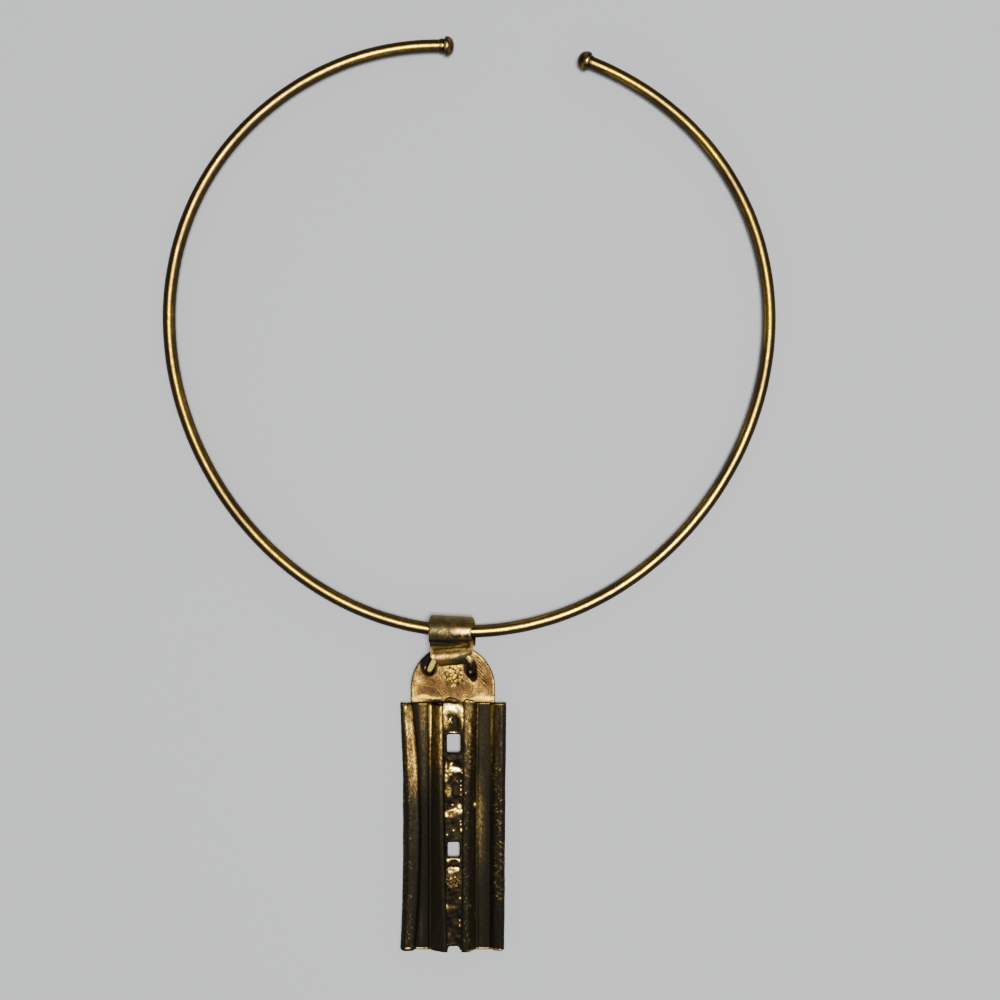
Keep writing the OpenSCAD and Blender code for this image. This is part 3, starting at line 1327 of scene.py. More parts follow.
@dataclass
class Link:
    """The link: one bent wire through the small roll, down both holes and across behind.

    Args:
        wire: diameter of the wire.
        around: number of points round the wire.
        axis_x: place of the pendant's axis.
        corners: corners of its closed way from the pendant's axis, cut round.
    """

    wire: float = 1.3
    around: int = 24
    axis_x: float = -3.4
    corners: tuple[tuple[float, float, float], ...] = (
        (-3.2, -69.7, 4.45), (3.0, -69.3, 4.45), (3.9, -70.2, 4.5), (4.0, -73.3, 4.0), (3.9, -73.5, 0.7),
        (3.0, -73.3, 0.7), (-4.0, -73.0, 0.7), (-5.0, -73.2, 0.7), (-5.1, -73.0, 4.0), (-3.9, -70.4, 4.5),
    )

    def path(self) -> Array:
        """Rounds the closed way by cutting its corners four times.

        Returns:
            The points of its centre line.
        """
        line = np.array(self.corners) + np.array([self.axis_x, 0.0, 0.0])
        for _ in range(4):
            after = np.roll(line, -1, 0)
            line = np.stack([0.75 * line + 0.25 * after, 0.25 * line + 0.75 * after], 1).reshape(-1, 3)
        return line

    def build(self) -> bpy.types.Object:
        """Sweeps the wire, with a painted highlight on the left leg, and nearly black in the holes.

        Returns:
            The new object.
        """
        line = self.path()
        ways = unit(np.roll(line, -1, 0) - np.roll(line, 1, 0))
        across = unit(np.cross(ways, np.array([0.0, 0.7, -0.7])))
        over = np.cross(across, ways)
        turn = (np.arange(self.around) * TURN / self.around)[None, :, None]
        run = np.cumsum(np.linalg.norm(line - np.roll(line, 1, 0), axis=1))[:, None]
        lay = np.stack(np.broadcast_arrays(np.cos(turn[..., 0]), run, np.sin(turn[..., 0])), -1)
        reach = self.wire / 2 - np.abs(Ripple(31, 1.6, 0.015).at(lay))
        facing = np.cos(turn) * across[:, None] + np.sin(turn) * over[:, None]
        rows = line[:, None] + reach[..., None] * facing
        x, y, z = (rows[..., k] for k in range(3))
        # Painted highlights: along the lit top of the left leg, fading towards its hole, a dot on the
        # right leg and the shoulder beside the small roll.
        left = hill((x, -7.9, 1.2, 4)) * ease((z - 1.9) / 0.8)
        dot = hill((x, 0.37, 0.3, 2), (y, -73.0, 0.3, 2)) * (z > 2)
        shoulder = hill((x, 0.05, 0.95, 2), (y, -70.1, 0.85, 2)) * (z > 4.3)
        highlight_facing = 0.15 + 1.1 * ease((facing[..., 2] - 0.3) / 0.5)
        left = left * highlight_facing * (1 - 0.7 * ease((-72.3 - y) / 1.0))
        wear = 0.04 + left + 0.85 * dot + 1.2 * shoulder
        skin = Skin()
        skin.tube(rows, wear, lay, closed=True)
        return skin.piece("link_wire", LINK, "link")


class FoldLine(NamedTuple):
    """One line of a folded panel, followed from its top to its foot.

    Args:
        name: what the line is on the real panel; not used.
        top: its place across at the top.
        middle: its place across at the panel's middle depth.
        foot: its place across at the foot.
        height: height of the sheet's middle there.
        begin: how far below the casting's top it begins.
        short: how far above the casting's foot it ends.
        wear: how worn it is at the panel's four wear depths, with a painted highlight that fades towards
            the foot.
        top_rim: how worn the rim at its upper end is, and how bright its painted highlight is.
        foot_rim: how worn the rim at its lower end is, and how bright its painted highlight is.
    """

    name: str
    top: float
    middle: float
    foot: float
    height: float
    begin: float
    short: float
    wear: tuple[float, float, float, float]
    top_rim: float
    foot_rim: float


# The wear columns hold tarnish and wear together with a painted highlight that fades towards the foot.
LEFT_FOLDS = (
    FoldLine("edge", -11.2, -10.7, -11.2, 0.55, 0.2, 0.1, (0.08, 0.05, 0.04, 0.04), 0.0, 0.0),
    FoldLine("outer side", -10.82, -9.93, -10.85, 1.55, 0.2, 0.1, (0.03, 0.03, 0.05, 0.05), 0.0, 0.0),
    FoldLine("outer ridge", -10.45, -9.53, -10.4, 1.85, 0.2, 0.1, (0.9, 0.58, 0.14, 0.12), 0.9, 0.0),
    FoldLine("plane", -9.9, -8.72, -9.6, 1.78, 0.2, 0.1, (0.55, 0.64, 0.2, 0.14), 0.3, 0.0),
    FoldLine("plane edge", -9.3, -7.65, -8.8, 1.6, 0.2, 0.1, (0.92, 0.88, 0.24, 0.08), 0.8, 0.0),
    FoldLine("riser foot", -8.95, -7.3, -8.4, 0.5, 0.2, 0.1, (0.03, 0.02, 0.02, 0.02), 0.0, 0.0),
    FoldLine("floor start", -7.8, -7.0, -7.9, 0.4, 0.2, 0.02, (0.08, 0.05, 0.03, 0.02), 0.0, 1.0),
    FoldLine("floor side", -7.2, -6.6, -7.2, 0.4, 0.2, 0.02, (0.42, 0.24, 0.06, 0.06), 0.8, 1.0),
    FoldLine("floor", -6.3, -6.2, -6.4, 0.42, 0.2, 0.02, (0.55, 0.34, 0.07, 0.08), 0.9, 1.0),
    FoldLine("floor end", -5.55, -5.55, -5.55, 0.42, 0.2, 0.02, (0.3, 0.15, 0.04, 0.05), 0.6, 1.0),
    FoldLine("rib start", -5.25, -5.25, -5.2, 0.5, 0.1, 0.05, (0.06, 0.04, 0.03, 0.03), 0.0, 0.5),
    FoldLine("rib", -5.1, -5.05, -5.0, 0.82, 0.1, 0.1, (1.3, 0.4, 0.1, 0.1), 0.5, 0.5),
    FoldLine("rib end", -4.62, -4.75, -4.75, 0.78, 0.1, 0.1, (1.3, 0.34, 0.1, 0.12), 0.5, 0.6),
    FoldLine("facet foot", -4.4, -4.4, -4.3, 1.0, 0.2, 0.0, (0.6, 0.34, 0.18, 0.14), 0.0, 0.0),
    FoldLine("facet head", -3.2, -3.15, -2.5, 2.0, 0.2, 0.0, (0.62, 0.4, 0.24, 0.18), 0.0, 0.0),
    FoldLine("ridge", -2.75, -2.7, -1.9, 2.3, 0.2, 0.0, (0.95, 0.55, 0.18, 0.1), 0.1, 0.0),
    FoldLine("ridge end", -2.05, -1.95, -1.15, 2.2, 0.2, 0.0, (0.6, 0.25, 0.12, 0.08), 0.1, 0.0),
)
RIGHT_FOLDS = (
    FoldLine("ridge end", 2.2, 2.05, 1.8, 2.15, -0.3, 0.0, (0.5, 0.28, 0.12, 0.08), 0.6, 0.0),
    FoldLine("ridge", 2.8, 2.6, 2.5, 2.32, -0.8, 0.0, (0.5, 0.36, 0.14, 0.1), 0.95, 0.1),
    FoldLine("ridge side", 4.3, 3.4, 3.4, 2.2, -0.5, 0.0, (0.42, 0.2, 0.1, 0.08), 0.95, 0.8),
    FoldLine("facet", 4.75, 4.3, 4.2, 1.3, 0.0, 0.1, (0.44, 0.4, 0.42, 0.26), 0.0, 0.7),
    FoldLine("facet foot", 4.98, 4.75, 4.75, 0.6, 0.1, 0.1, (0.1, 0.14, 0.14, 0.1), 0.2, 0.0),
    FoldLine("rib", 5.1, 4.92, 4.92, 0.66, 0.1, 0.05, (0.55, 0.15, 0.2, 0.1), 0.6, 0.6),
    FoldLine("rib end", 5.3, 5.1, 5.1, 0.62, 0.1, 0.05, (0.5, 0.3, 0.52, 0.12), 0.7, 0.9),
    FoldLine("floor near", 5.6, 5.5, 5.5, 0.42, 0.1, 0.02, (0.2, 0.24, 0.5, 0.12), 0.8, 1.0),
    FoldLine("floor", 6.5, 6.5, 6.5, 0.42, 0.1, 0.02, (0.22, 0.18, 0.36, 0.1), 0.9, 1.0),
    FoldLine("floor far", 7.4, 7.4, 7.4, 0.42, 0.1, 0.02, (0.2, 0.14, 0.1, 0.06), 0.9, 1.0),
    FoldLine("floor end", 8.05, 8.05, 8.0, 0.42, 0.1, 0.05, (0.14, 0.1, 0.06, 0.04), 0.6, 0.4),
    FoldLine("step", 8.3, 8.3, 8.25, 0.66, 0.15, 0.1, (1.3, 0.5, 0.12, 0.06), 0.2, 0.9),
    FoldLine("outer side", 9.2, 9.1, 8.95, 1.4, 0.15, 0.1, (0.36, 0.25, 0.17, 0.07), 0.95, 1.0),
    FoldLine("outer ridge", 10.55, 10.4, 10.2, 1.75, 0.15, 0.1, (0.36, 0.24, 0.15, 0.08), 0.95, 0.9),
    FoldLine("outer wall", 10.95, 10.75, 10.5, 1.4, 0.15, 0.1, (0.05, 0.05, 0.05, 0.04), 0.0, 0.0),
    FoldLine("edge", 11.3, 11.1, 10.8, 0.6, 0.2, 0.1, (0.04, 0.04, 0.04, 0.04), 0.0, 0.0),
)
LEFT_MARKS = (
    Mark(-9.65, 52.93, 0.72, 0.17, 0.06, 1.3, 0, 3),
    Mark(-9.1, 10.2, 0.4, 0.14, -0.05, 0.25, 20),
    Mark(-6.9, 48.4, 0.3, 3.6, 0.0, 0.24, 1, 2),
)
RIGHT_MARKS = (
    Mark(5.75, 28.5, 0.55, 5.5, 0.0, 0.46, 0, 2),
    Mark(4.4, 22.1, 0.22, 0.55, 0.5, 1.6, 0, 1.5),
    Mark(3.5, 43.7, 0.25, 0.5, 0.12, 0.8, -20),
    Mark(4.5, 45.8, 0.15, 1.2, 0.1, 0.7),
    Mark(2.9, -0.35, 0.75, 0.42, 0.1, 1.0, 30, 2),
    Mark(3.0, 15.7, 0.12, 0.7, 0.06, 0.7, -55),
    Mark(2.8, 19.4, 0.2, 0.2, 0.06, 0.8),
)


@dataclass
class Casting:
    """What the pieces of the pendant share: it is one casting.

    Args:
        axis_x: place of its axis.
        panels_top: distance from the middle of the neck opening to the top of the panels.
        length: length of the panels.
    """

    axis_x: float = -3.4
    panels_top: float = 79.8
    length: float = 53.68

    def place(self, across: Array, down: Array, height: Array) -> Array:
        """Turns places on the pendant into points in the row's frame.

        Args:
            across: places from the pendant's axis.
            down: places from the top of the panels.
            height: heights above the resting surface.

        Returns:
            The points, with x, y, z on the last axis.
        """
        spots = np.broadcast_arrays(self.axis_x + across, -self.panels_top - down, height)
        return np.stack(spots, -1)


@dataclass
class FlutedPanel:
    """One of the two panels of folded flutes.

    Args:
        name: name of the piece.
        folds: its fold lines from left to right.
        marks: its small marks.
        casting: the casting that it is a part of.
        seed: number that picks its unevenness.
        specked: the places across between which faint worn specks lie.
        scars: whether the rough scars of the mould run down its outer flute.
        thick: thickness of the sheet.
        round_off: how far the folds are rounded.
        column_step: distance between points across.
        step: distance between points down.
        middle_depth: depth at which the fold lines give their middle place.
        wear_depths: depths at which they give their wear.
        lip: how high the rims at the cut ends stand.
        lip_depth: distance from an end to the crest of its rim.
        lip_width: half the width of a rim.
        back_wear: how worn the back is.
        speck_count: number of the worn specks.
        scar_count: number of the scars.
        scratch_count: number of the crossed scratches.
    """

    name: str
    folds: tuple[FoldLine, ...]
    marks: tuple[Mark, ...]
    casting: Casting
    seed: int
    specked: tuple[float, float]
    scars: bool = False
    thick: float = 0.7
    round_off: float = 0.09
    column_step: float = 0.13
    step: float = 0.2
    middle_depth: float = 21.0
    wear_depths: tuple[float, float, float, float] = (3.0, 14.0, 23.0, 40.0)
    lip: float = 0.08
    lip_depth: float = 0.32
    lip_width: float = 0.18
    back_wear: float = 0.12
    speck_count: int = 190
    scar_count: int = 90
    scratch_count: int = 44

    def weights(self) -> Array:
        """Places the columns across the flat sheet and rounds the folds between them.

        Returns:
            How much each fold line counts at each column, as columns by fold lines.
        """
        spots = np.array([(f.middle, f.height) for f in self.folds])
        nodes = np.concatenate([[0.0], np.cumsum(np.linalg.norm(np.diff(spots, axis=0), axis=1))])
        places = stations(nodes[-1], self.column_step, self.thick / 2)
        total = np.zeros((len(places), len(nodes)))
        taps = np.linspace(-2, 2, 9)
        shares = np.exp(-(taps**2) / 2)
        for tap, share in zip(taps, shares / shares.sum()):
            at = places + tap * self.round_off
            low = np.clip(np.searchsorted(nodes, at) - 1, 0, len(nodes) - 2)
            t = (at - nodes[low]) / (nodes[low + 1] - nodes[low])
            columns = np.arange(len(places))
            total[columns, low] += share * (1 - t)
            total[columns, low + 1] += share * t
        return total

    def bend(self, fold: FoldLine, down: Array) -> Array:
        """Bows a fold line smoothly through its top, middle and foot.

        Args:
            fold: the fold line.
            down: depths in rising order.

        Returns:
            Its place across at each depth.
        """
        t, m = down / self.casting.length, self.middle_depth / self.casting.length
        curve = (fold.middle - fold.top - (fold.foot - fold.top) * m) / (m * (m - 1))
        return fold.top + (fold.foot - fold.top) * t + curve * t * (t - 1)

    def spread(self, column: str, weights: Array) -> Array:
        """One number of the fold lines, spread over the columns."""
        return np.array([getattr(fold, column) for fold in self.folds]) @ weights.T

    def build(self) -> bpy.types.Object:
        """Folds the sheet and dresses both sides.

        Returns:
            The new object.
        """
        weights = self.weights()
        depth = stations(self.casting.length, self.step, self.thick / 2)
        across = np.stack([self.bend(fold, depth) for fold in self.folds], -1) @ weights.T
        height = self.spread("height", weights)
        begin, short = self.spread("begin", weights), self.spread("short", weights)
        share = depth[:, None] / self.casting.length
        down = begin + (self.casting.length - begin - short) * share
        sway = Ripple(self.seed, 16.0, 0.05).at(np.stack([across, down, across * 0], -1))
        middle = self.casting.place(across, down, height + sway * ease((height - 0.5) / 0.5))
        lay = np.stack(np.broadcast_arrays(across, down, middle[..., 2]), -1)
        relief = Ripple(self.seed + 1, 1.7, 0.018).at(lay * [1.0, 0.35, 1.0])
        relief = relief + Ripple(self.seed + 2, 0.7, 0.008).at(lay * [1.0, 0.6, 1.0])
        worn = [np.interp(depth, self.wear_depths, fold.wear) for fold in self.folds]
        front = Face(relief, np.stack(worn, -1) @ weights.T, lay)
        self.raise_rim(front, down - begin, self.spread("top_rim", weights))
        self.raise_rim(front, self.casting.length - short - down, self.spread("foot_rim", weights))
        for mark in self.marks + self.speck_marks() + (self.scar_marks() if self.scars else ()):
            mark.press(across, down, front)
        low = np.minimum(Ripple(self.seed + 3, 1.5, 0.015).at(lay), 0.0)
        back = Face(low, np.full(across.shape, self.back_wear), lay)
        skin = Skin()
        skin.sheet(middle, self.thick, front, back)
        return skin.piece(self.name, FLUTES, "pendant")

    def raise_rim(self, face: Face, reach: Array, rim: Array) -> None:
        """Raises a worn rim with a painted highlight beside a cut end, and darkens the end itself with
        painted shade.

        Args:
            face: the side of the sheet that takes it.
            reach: distance of each point from the end.
            rim: how worn the rim is at each column.
        """
        lip = hill((reach, self.lip_depth, self.lip_width, 2))
        worn = mix(face.wear, rim, np.clip(1.6 * lip, 0, 1))
        # Painted shade at the cut end itself.
        face.wear = worn * (1 - 0.9 * hill((reach, 0.0, 0.14, 2)))
        face.relief = face.relief + self.lip * lip * ease(2 * rim)

    def speck_marks(self) -> tuple[Mark, ...]:
        """Strews faint worn specks where the flute stands highest.

        Returns:
            The specks.
        """
        draw = np.random.default_rng(self.seed + 5)
        marks = []
        for _ in range(self.speck_count):
            across, down = draw.uniform(*self.specked), draw.uniform(12, 52.5)
            wear, lean, long = draw.uniform(0.28, 0.72), draw.uniform(-60, 60), draw.uniform(0.09, 0.26)
            marks.append(Mark(across, down, 0.09, long, 0.02, wear, lean))
        return tuple(marks)

    def scar_marks(self) -> tuple[Mark, ...]:
        """Draws raised scars in a zigzag down the outer flute and scratches on the inner ridge.

        Returns:
            The scars and the scratches.
        """
        draw = np.random.default_rng(self.seed)
        marks = []
        for k in range(self.scar_count):
            share = k / (self.scar_count - 1)
            down = mix(13.5, 42.5, share) + draw.uniform(-0.3, 0.3)
            across = mix(9.5, 9.9, share) + draw.uniform(-0.8, 0.75)
            lean = draw.choice([-1, 1]) * draw.uniform(30, 80)
            wear, long = draw.uniform(0.4, 0.9), draw.uniform(0.3, 0.7)
            marks.append(Mark(across, down, 0.09, long, 0.09, wear, lean))
        for k in range(self.scratch_count):
            down = mix(1.2, 14.5, k / (self.scratch_count - 1)) + draw.uniform(-0.3, 0.3)
            across = 3.3 + draw.uniform(-0.8, 0.7)
            lean = draw.choice([-1, 1]) * draw.uniform(30, 50)
            long, wear = draw.uniform(0.2, 0.45), draw.uniform(0.6, 0.9)
            marks.append(Mark(across, down, 0.1, long, 0.04, wear, lean))
        return tuple(marks)


PLATE_MARKS = (
    # A painted shadow where the plate meets the top of the panels.
    Mark(-3.4, -0.08, 1.5, 0.42, -0.05, 0.0, 0, 3),
    # Painted highlights along the plate's lower margin.
    Mark(-7.2, -0.8, 2.2, 0.6, 0.05, 1.35, -5, 2),
    Mark(-6.3, -1.15, 1.7, 0.5, 0.05, 1.45, 0, 2),
    Mark(-3.9, -0.95, 2.2, 0.34, 0.05, 1.0, 0, 2),
    Mark(6.6, -0.75, 2.9, 0.52, 0.05, 1.25, -2, 2),
    Mark(6.4, -1.7, 0.8, 0.6, 0.0, 1.0),
    Mark(-8.2, -5.0, 1.1, 4.0, 0.0, 0.78),
    Mark(-4.6, -3.2, 2.4, 1.3, -0.03, 0.36, 60),
    Mark(1.0, -3.0, 3.0, 1.2, 0.0, 0.5),
    Mark(7.5, -6.0, 1.2, 4.0, 0.0, 0.5),
    Mark(-5.2, -8.2, 2.15, 2.98, 0.02, 0.8, 0, 6),
    Mark(3.7, -7.4, 1.62, 2.3, 0.02, 0.75, -8, 6),
    Mark(-5.2, -8.2, 1.95, 2.8, -0.08, 0.0, 0, 8),
    Mark(-6.0, -7.4, 0.16, 0.4, 0.08, 1.0, 10),
    Mark(3.7, -7.4, 1.45, 2.15, -0.08, 0.0, -8, 8),
    Mark(4.45, -5.2, 0.7, 0.8, -0.06, 0.0, 12, 4),
    Mark(4.1, -6.1, 1.05, 1.15, -0.06, 0.0, -20, 4),
    Mark(-0.6, -7.9, 2.6, 1.3, 0.0, 0.9, 0, 1.5),
    Mark(-3.0, -2.3, 0.12, 1.1, 0.05, 0.85, -40),
    Mark(-2.2, -2.0, 0.1, 0.9, 0.04, 0.75, -42),
    Mark(-6.0, -3.6, 1.3, 0.12, 0.05, 0.75, 8),
    Mark(-1.6, -10.2, 3.0, 1.6, 0.0, 0.3, 0, 2),
)


@dataclass
class HangerPlate:
    """The domed plate above the panels, with its two holes.

    Args:
        casting: the casting that it is a part of.
        reach: radius of the dome.
        centre: place of the dome's centre, down from the panels' top.
        thick: thickness of the plate.
        level: height of its underside.
        foot: how far it goes down behind the panels' top.
        rim: how far the rounding of its edges reaches inwards.
        spacing: distance between its points.
        swell: how much higher its middle stands than its edge.
        swell_reach: half the width and half the length over which it swells.
        sunk: how far the edge stays below the full thickness.
        wear: how worn its front is between the marks.
        back_wear: how worn its back is.
        holes: place across, place up, half the width and half the length of each hole.
        pits: place across and down of the pitted patch, and its radius.
        pit_count: number of pits in it.
        slant_count: number of slanting scratches beside the right hole.
        scratch_count: number of fine scratches elsewhere.
    """

    casting: Casting
    reach: float = 9.05
    centre: float = -3.2
    thick: float = 0.8
    level: float = 1.4
    foot: float = 0.15
    rim: float = 0.25
    spacing: float = 0.16
    swell: float = 0.1
    swell_reach: tuple[float, float] = (9.5, 12.0)
    sunk: float = 0.08
    wear: float = 0.6
    back_wear: float = 0.2
    holes: tuple[tuple[float, float, float, float], ...] = (
        (-5.0, 6.67, 0.72, 0.74),
        (3.91, 6.38, 0.71, 0.73),
    )
    pits: tuple[float, float, float] = (0.15, -5.6, 2.3)
    pit_count: int = 95
    slant_count: int = 13
    scratch_count: int = 26

    def outline(self) -> Array:
        """Draws the outer edge, turning left.

        Returns:
            Its corners as across and up from the panels' top.
        """
        turn = np.linspace(0.0, math.pi, 120)
        dome = np.column_stack([self.reach * np.cos(turn), -self.centre + self.reach * np.sin(turn)])
        left = np.linspace(-self.centre, -self.foot, 16)[1:]
        side = np.column_stack([np.full(len(left), -self.reach), left])
        low = np.linspace(-self.reach, self.reach, 80)[1:]
        base = np.column_stack([low, np.full(len(low), -self.foot)])
        right = np.column_stack([np.full(14, self.reach), left[::-1][1:]])
        return np.concatenate([dome, side, base, right])

    @staticmethod
    def hole(across: float, up: float, wide: float, long: float) -> Array:
        """Draws a hole's edge, turning right.

        Args:
            across: place of its middle.
            up: place of its middle, up from the panels' top.
            wide: half its width.
            long: half its length.

        Returns:
            The corners of the edge.
        """
        turn = -np.linspace(0, TURN, 44, endpoint=False)
        return np.column_stack([across + wide * np.cos(turn), up + long * np.sin(turn)])

    def scratches(self) -> tuple[Mark, ...]:
        """Draws the slanting scratches between the right hole and the edge, and fine ones elsewhere.

        Returns:
            The scratches.
        """
        draw = np.random.default_rng(52)
        marks = []
        for k in range(self.slant_count):
            down = mix(-9.6, -3.6, k / (self.slant_count - 1))
            worn, rise = (0.85, 0.05) if k % 2 else (0.25, -0.05)
            marks.append(Mark(5.5 + 0.1 * k, down, 0.1, 0.7, rise, worn, -38))
        for _ in range(self.scratch_count):
            across, down = draw.uniform(-7.5, 8), draw.uniform(-5.5, -1.5)
            long, worn = draw.uniform(0.3, 0.9), draw.uniform(0.25, 0.8)
            marks.append(Mark(across, down, 0.09, long, -0.02, worn, -35))
        return tuple(marks)

    def pitted(self, across: Array, down: Array, face: Face) -> None:
        """Presses the patch of small pits into the middle of the plate.

        Args:
            across: place of each point across the pendant.
            down: place of each point down the pendant.
            face: the side of the plate that takes them.
        """
        draw = np.random.default_rng(53)
        middle, depth, reach = self.pits
        for _ in range(self.pit_count):
            spread, turn = reach * math.sqrt(draw.uniform()), draw.uniform(0, TURN)
            wide, long = draw.uniform(0.12, 0.26), draw.uniform(0.12, 0.3)
            rise, worn, lean = draw.choice([-0.1, 0.08]), draw.choice([0.55, 1.35]), draw.uniform(0, 180)
            x, y = middle + spread * math.cos(turn) * 0.9, depth + spread * math.sin(turn)
            Mark(x, y, wide, long, rise, worn, lean).press(across, down, face)

    def build(self) -> bpy.types.Object:
        """Cuts the plate, domes it slightly and dresses it.

        Returns:
            The new object.
        """
        cut = CutSheet(self.outline(), [self.hole(*h) for h in self.holes], self.spacing, self.rim)
        across, down = cut.points[:, 0], -cut.points[:, 1]
        lay = np.column_stack([across, down, across * 0])
        wide, long = self.swell_reach
        round_in = 1 - ((across / wide) ** 2 + ((down - self.centre) / long) ** 2)
        top = self.level + self.thick - self.sunk + self.swell * round_in + Ripple(51, 3.5, 0.025).at(lay)
        front = Face(top, self.wear + Ripple(54, 4.0, 0.06).at(lay), lay)
        for mark in PLATE_MARKS + self.scratches():
            mark.press(across, down, front)
        self.pitted(across, down, front)
        # A painted highlight along the plate's right edge.
        right_edge = (np.hypot(across, down - self.centre) > 8) * (across > 4)
        front.wear += 0.3 * hill((cut.reach, 0.3, 0.15, 2)) * right_edge
        front.wear *= 1 - 0.85 * hill((cut.reach, 0.0, 0.12, 2))
        back = Face(np.full(len(top), self.level), np.full(len(top), self.back_wear), lay)
        cut.points = self.casting.place(across, down, top)[:, :2]
        skin = Skin()
        skin.cut_sheet(cut, front, back)
        return skin.piece("hanger_plate", PLATE, "pendant")


# Marks of the run metal: lumps whose wear goes above 1 also carry painted highlights.
STRIP_MARKS = (
    Mark(-1.9, 3.6, 0.9, 2.6, 0.1, 0.62, -6, 1.5),
    Mark(2.0, 4.0, 0.7, 1.9, 0.1, 0.75, 0, 1.2),
    Mark(0.5, 3.9, 0.6, 1.0, -0.1, 0.3, 10),
    Mark(0.6, 5.1, 1.0, 1.2, -0.15, 0.04, -15, 1.2),
    Mark(-0.1, 1.4, 2.25, 1.05, 0.2, 1.5, 6, 1.6),
    Mark(-0.4, -0.75, 2.4, 1.0, 0.12, 0.2, 4, 3),
    Mark(-0.4, -0.5, 1.5, 0.5, 0.15, 0.32, 4, 2),
    Mark(1.6, 2.3, 0.7, 0.9, 0.1, 1.3, 20, 1.5),
    Mark(-0.6, 3.9, 0.22, 0.6, 0.1, 1.3, 25),
    Mark(-0.2, 4.4, 0.16, 0.3, 0.1, 0.9, -30),
    # The next four marks paint shade round the walls of the two windows.
    Mark(0.2, 6.1, 1.75, 0.62, 0.05, 0.04, 0, 3),
    Mark(-1.75, 8.6, 0.45, 2.6, 0.0, 0.03, 0, 3),
    Mark(2.0, 8.6, 0.45, 2.6, 0.0, 0.03, 0, 3),
    Mark(0.15, 31.6, 1.85, 2.3, 0.0, 0.03, 0, 4),
    Mark(0.1, 6.45, 1.1, 0.13, 0.05, 0.8),
    Mark(-0.25, 11.9, 1.3, 0.9, 0.25, 0.12, 0, 2),
    Mark(-0.7, 13.4, 0.5, 0.5, 0.05, 0.4),
    Mark(-1.5, 13.6, 0.22, 0.8, 0.08, 0.95),
    Mark(-0.55, 13.7, 0.32, 0.85, 0.1, 1.3, 32, 1.5),
    Mark(-0.85, 14.75, 1.0, 0.42, 0.12, 1.5, -8, 2),
    Mark(0.5, 14.5, 1.25, 0.66, 0.14, 1.5, 3, 3),
    Mark(-1.0, 15.8, 0.4, 0.95, 0.1, 0.95, 48),
    Mark(-1.6, 15.7, 0.25, 0.45, 0.08, 1.0),
    Mark(-1.5, 16.9, 0.3, 0.3, 0.06, 0.7),
    Mark(1.9, 15.1, 0.12, 0.7, 0.05, 0.7, -60),
    Mark(0.0, 16.9, 0.12, 0.55, 0.05, 0.5, 45),
    Mark(0.8, 16.9, 0.12, 0.55, 0.05, 0.5, -45),
    Mark(-1.0, 19.1, 0.75, 1.4, 0.06, 0.45, 0, 2),
    Mark(0.5, 19.2, 0.7, 1.1, 0.1, 0.1, 0, 2),
    Mark(1.7, 16.9, 0.2, 0.2, 0.1, 0.85),
    Mark(1.7, 17.95, 0.2, 0.22, 0.1, 0.9),
    Mark(1.7, 18.8, 0.22, 0.25, 0.1, 0.95),
    Mark(1.7, 19.9, 0.2, 0.2, 0.1, 0.85),
    Mark(-0.15, 22.05, 0.25, 0.25, 0.1, 0.85),
    Mark(1.33, 22.4, 0.5, 0.5, 0.15, 1.5, 0, 1.5),
    Mark(1.4, 23.4, 0.65, 0.65, 0.12, 1.5, 0, 2),
    Mark(0.5, 23.5, 0.55, 0.5, 0.08, 1.1, 0, 1.5),
    Mark(-0.2, 24.3, 0.9, 0.6, 0.03, 0.5, 0, 2),
    Mark(-0.5, 23.3, 0.3, 1.3, 0.12, 1.1, 68),
    Mark(-1.4, 24.4, 0.4, 0.42, 0.12, 1.3, 0, 1.5),
    Mark(1.6, 25.6, 0.2, 0.2, 0.1, 0.8),
    Mark(1.6, 26.35, 0.26, 0.28, 0.12, 1.0),
    Mark(0.13, 27.55, 0.34, 0.36, 0.15, 1.0),
    Mark(1.68, 27.55, 0.36, 0.45, 0.15, 1.0),
    Mark(-1.3, 28.45, 0.28, 0.28, 0.12, 1.0),
    Mark(-1.1, 34.05, 0.28, 0.36, 0.08, 1.0),
    Mark(-0.55, 33.78, 0.5, 0.15, 0.05, 0.95, -25),
    Mark(0.15, 33.62, 0.6, 0.15, 0.05, 0.95),
    Mark(0.85, 33.78, 0.5, 0.15, 0.05, 0.95, 25),
    Mark(1.3, 34.1, 0.25, 0.42, 0.08, 0.95),
    Mark(0.15, 34.75, 0.95, 0.5, 0.15, 0.06, 0, 2),
    Mark(0.1, 38.3, 2.0, 1.9, 0.08, 0.3, 0, 3),
    Mark(0.15, 36.1, 1.2, 0.55, 0.09, 1.6, -16, 3),
    Mark(-0.6, 35.7, 0.6, 0.35, 0.06, 1.5, -30, 2),
    Mark(1.5, 42.1, 0.3, 0.34, 0.12, 1.0),
    Mark(-0.2, 44.1, 0.9, 0.45, 0.08, 0.4),
    Mark(-1.35, 44.0, 0.38, 0.55, 0.12, 1.0),
    Mark(1.38, 46.9, 0.25, 0.26, 0.1, 0.9),
    Mark(1.38, 48.0, 0.22, 0.3, 0.1, 0.8),
    Mark(-0.8, 50.0, 0.35, 0.7, 0.08, 0.35),
    Mark(-1.4, 52.0, 0.24, 0.24, 0.08, 0.75),
)


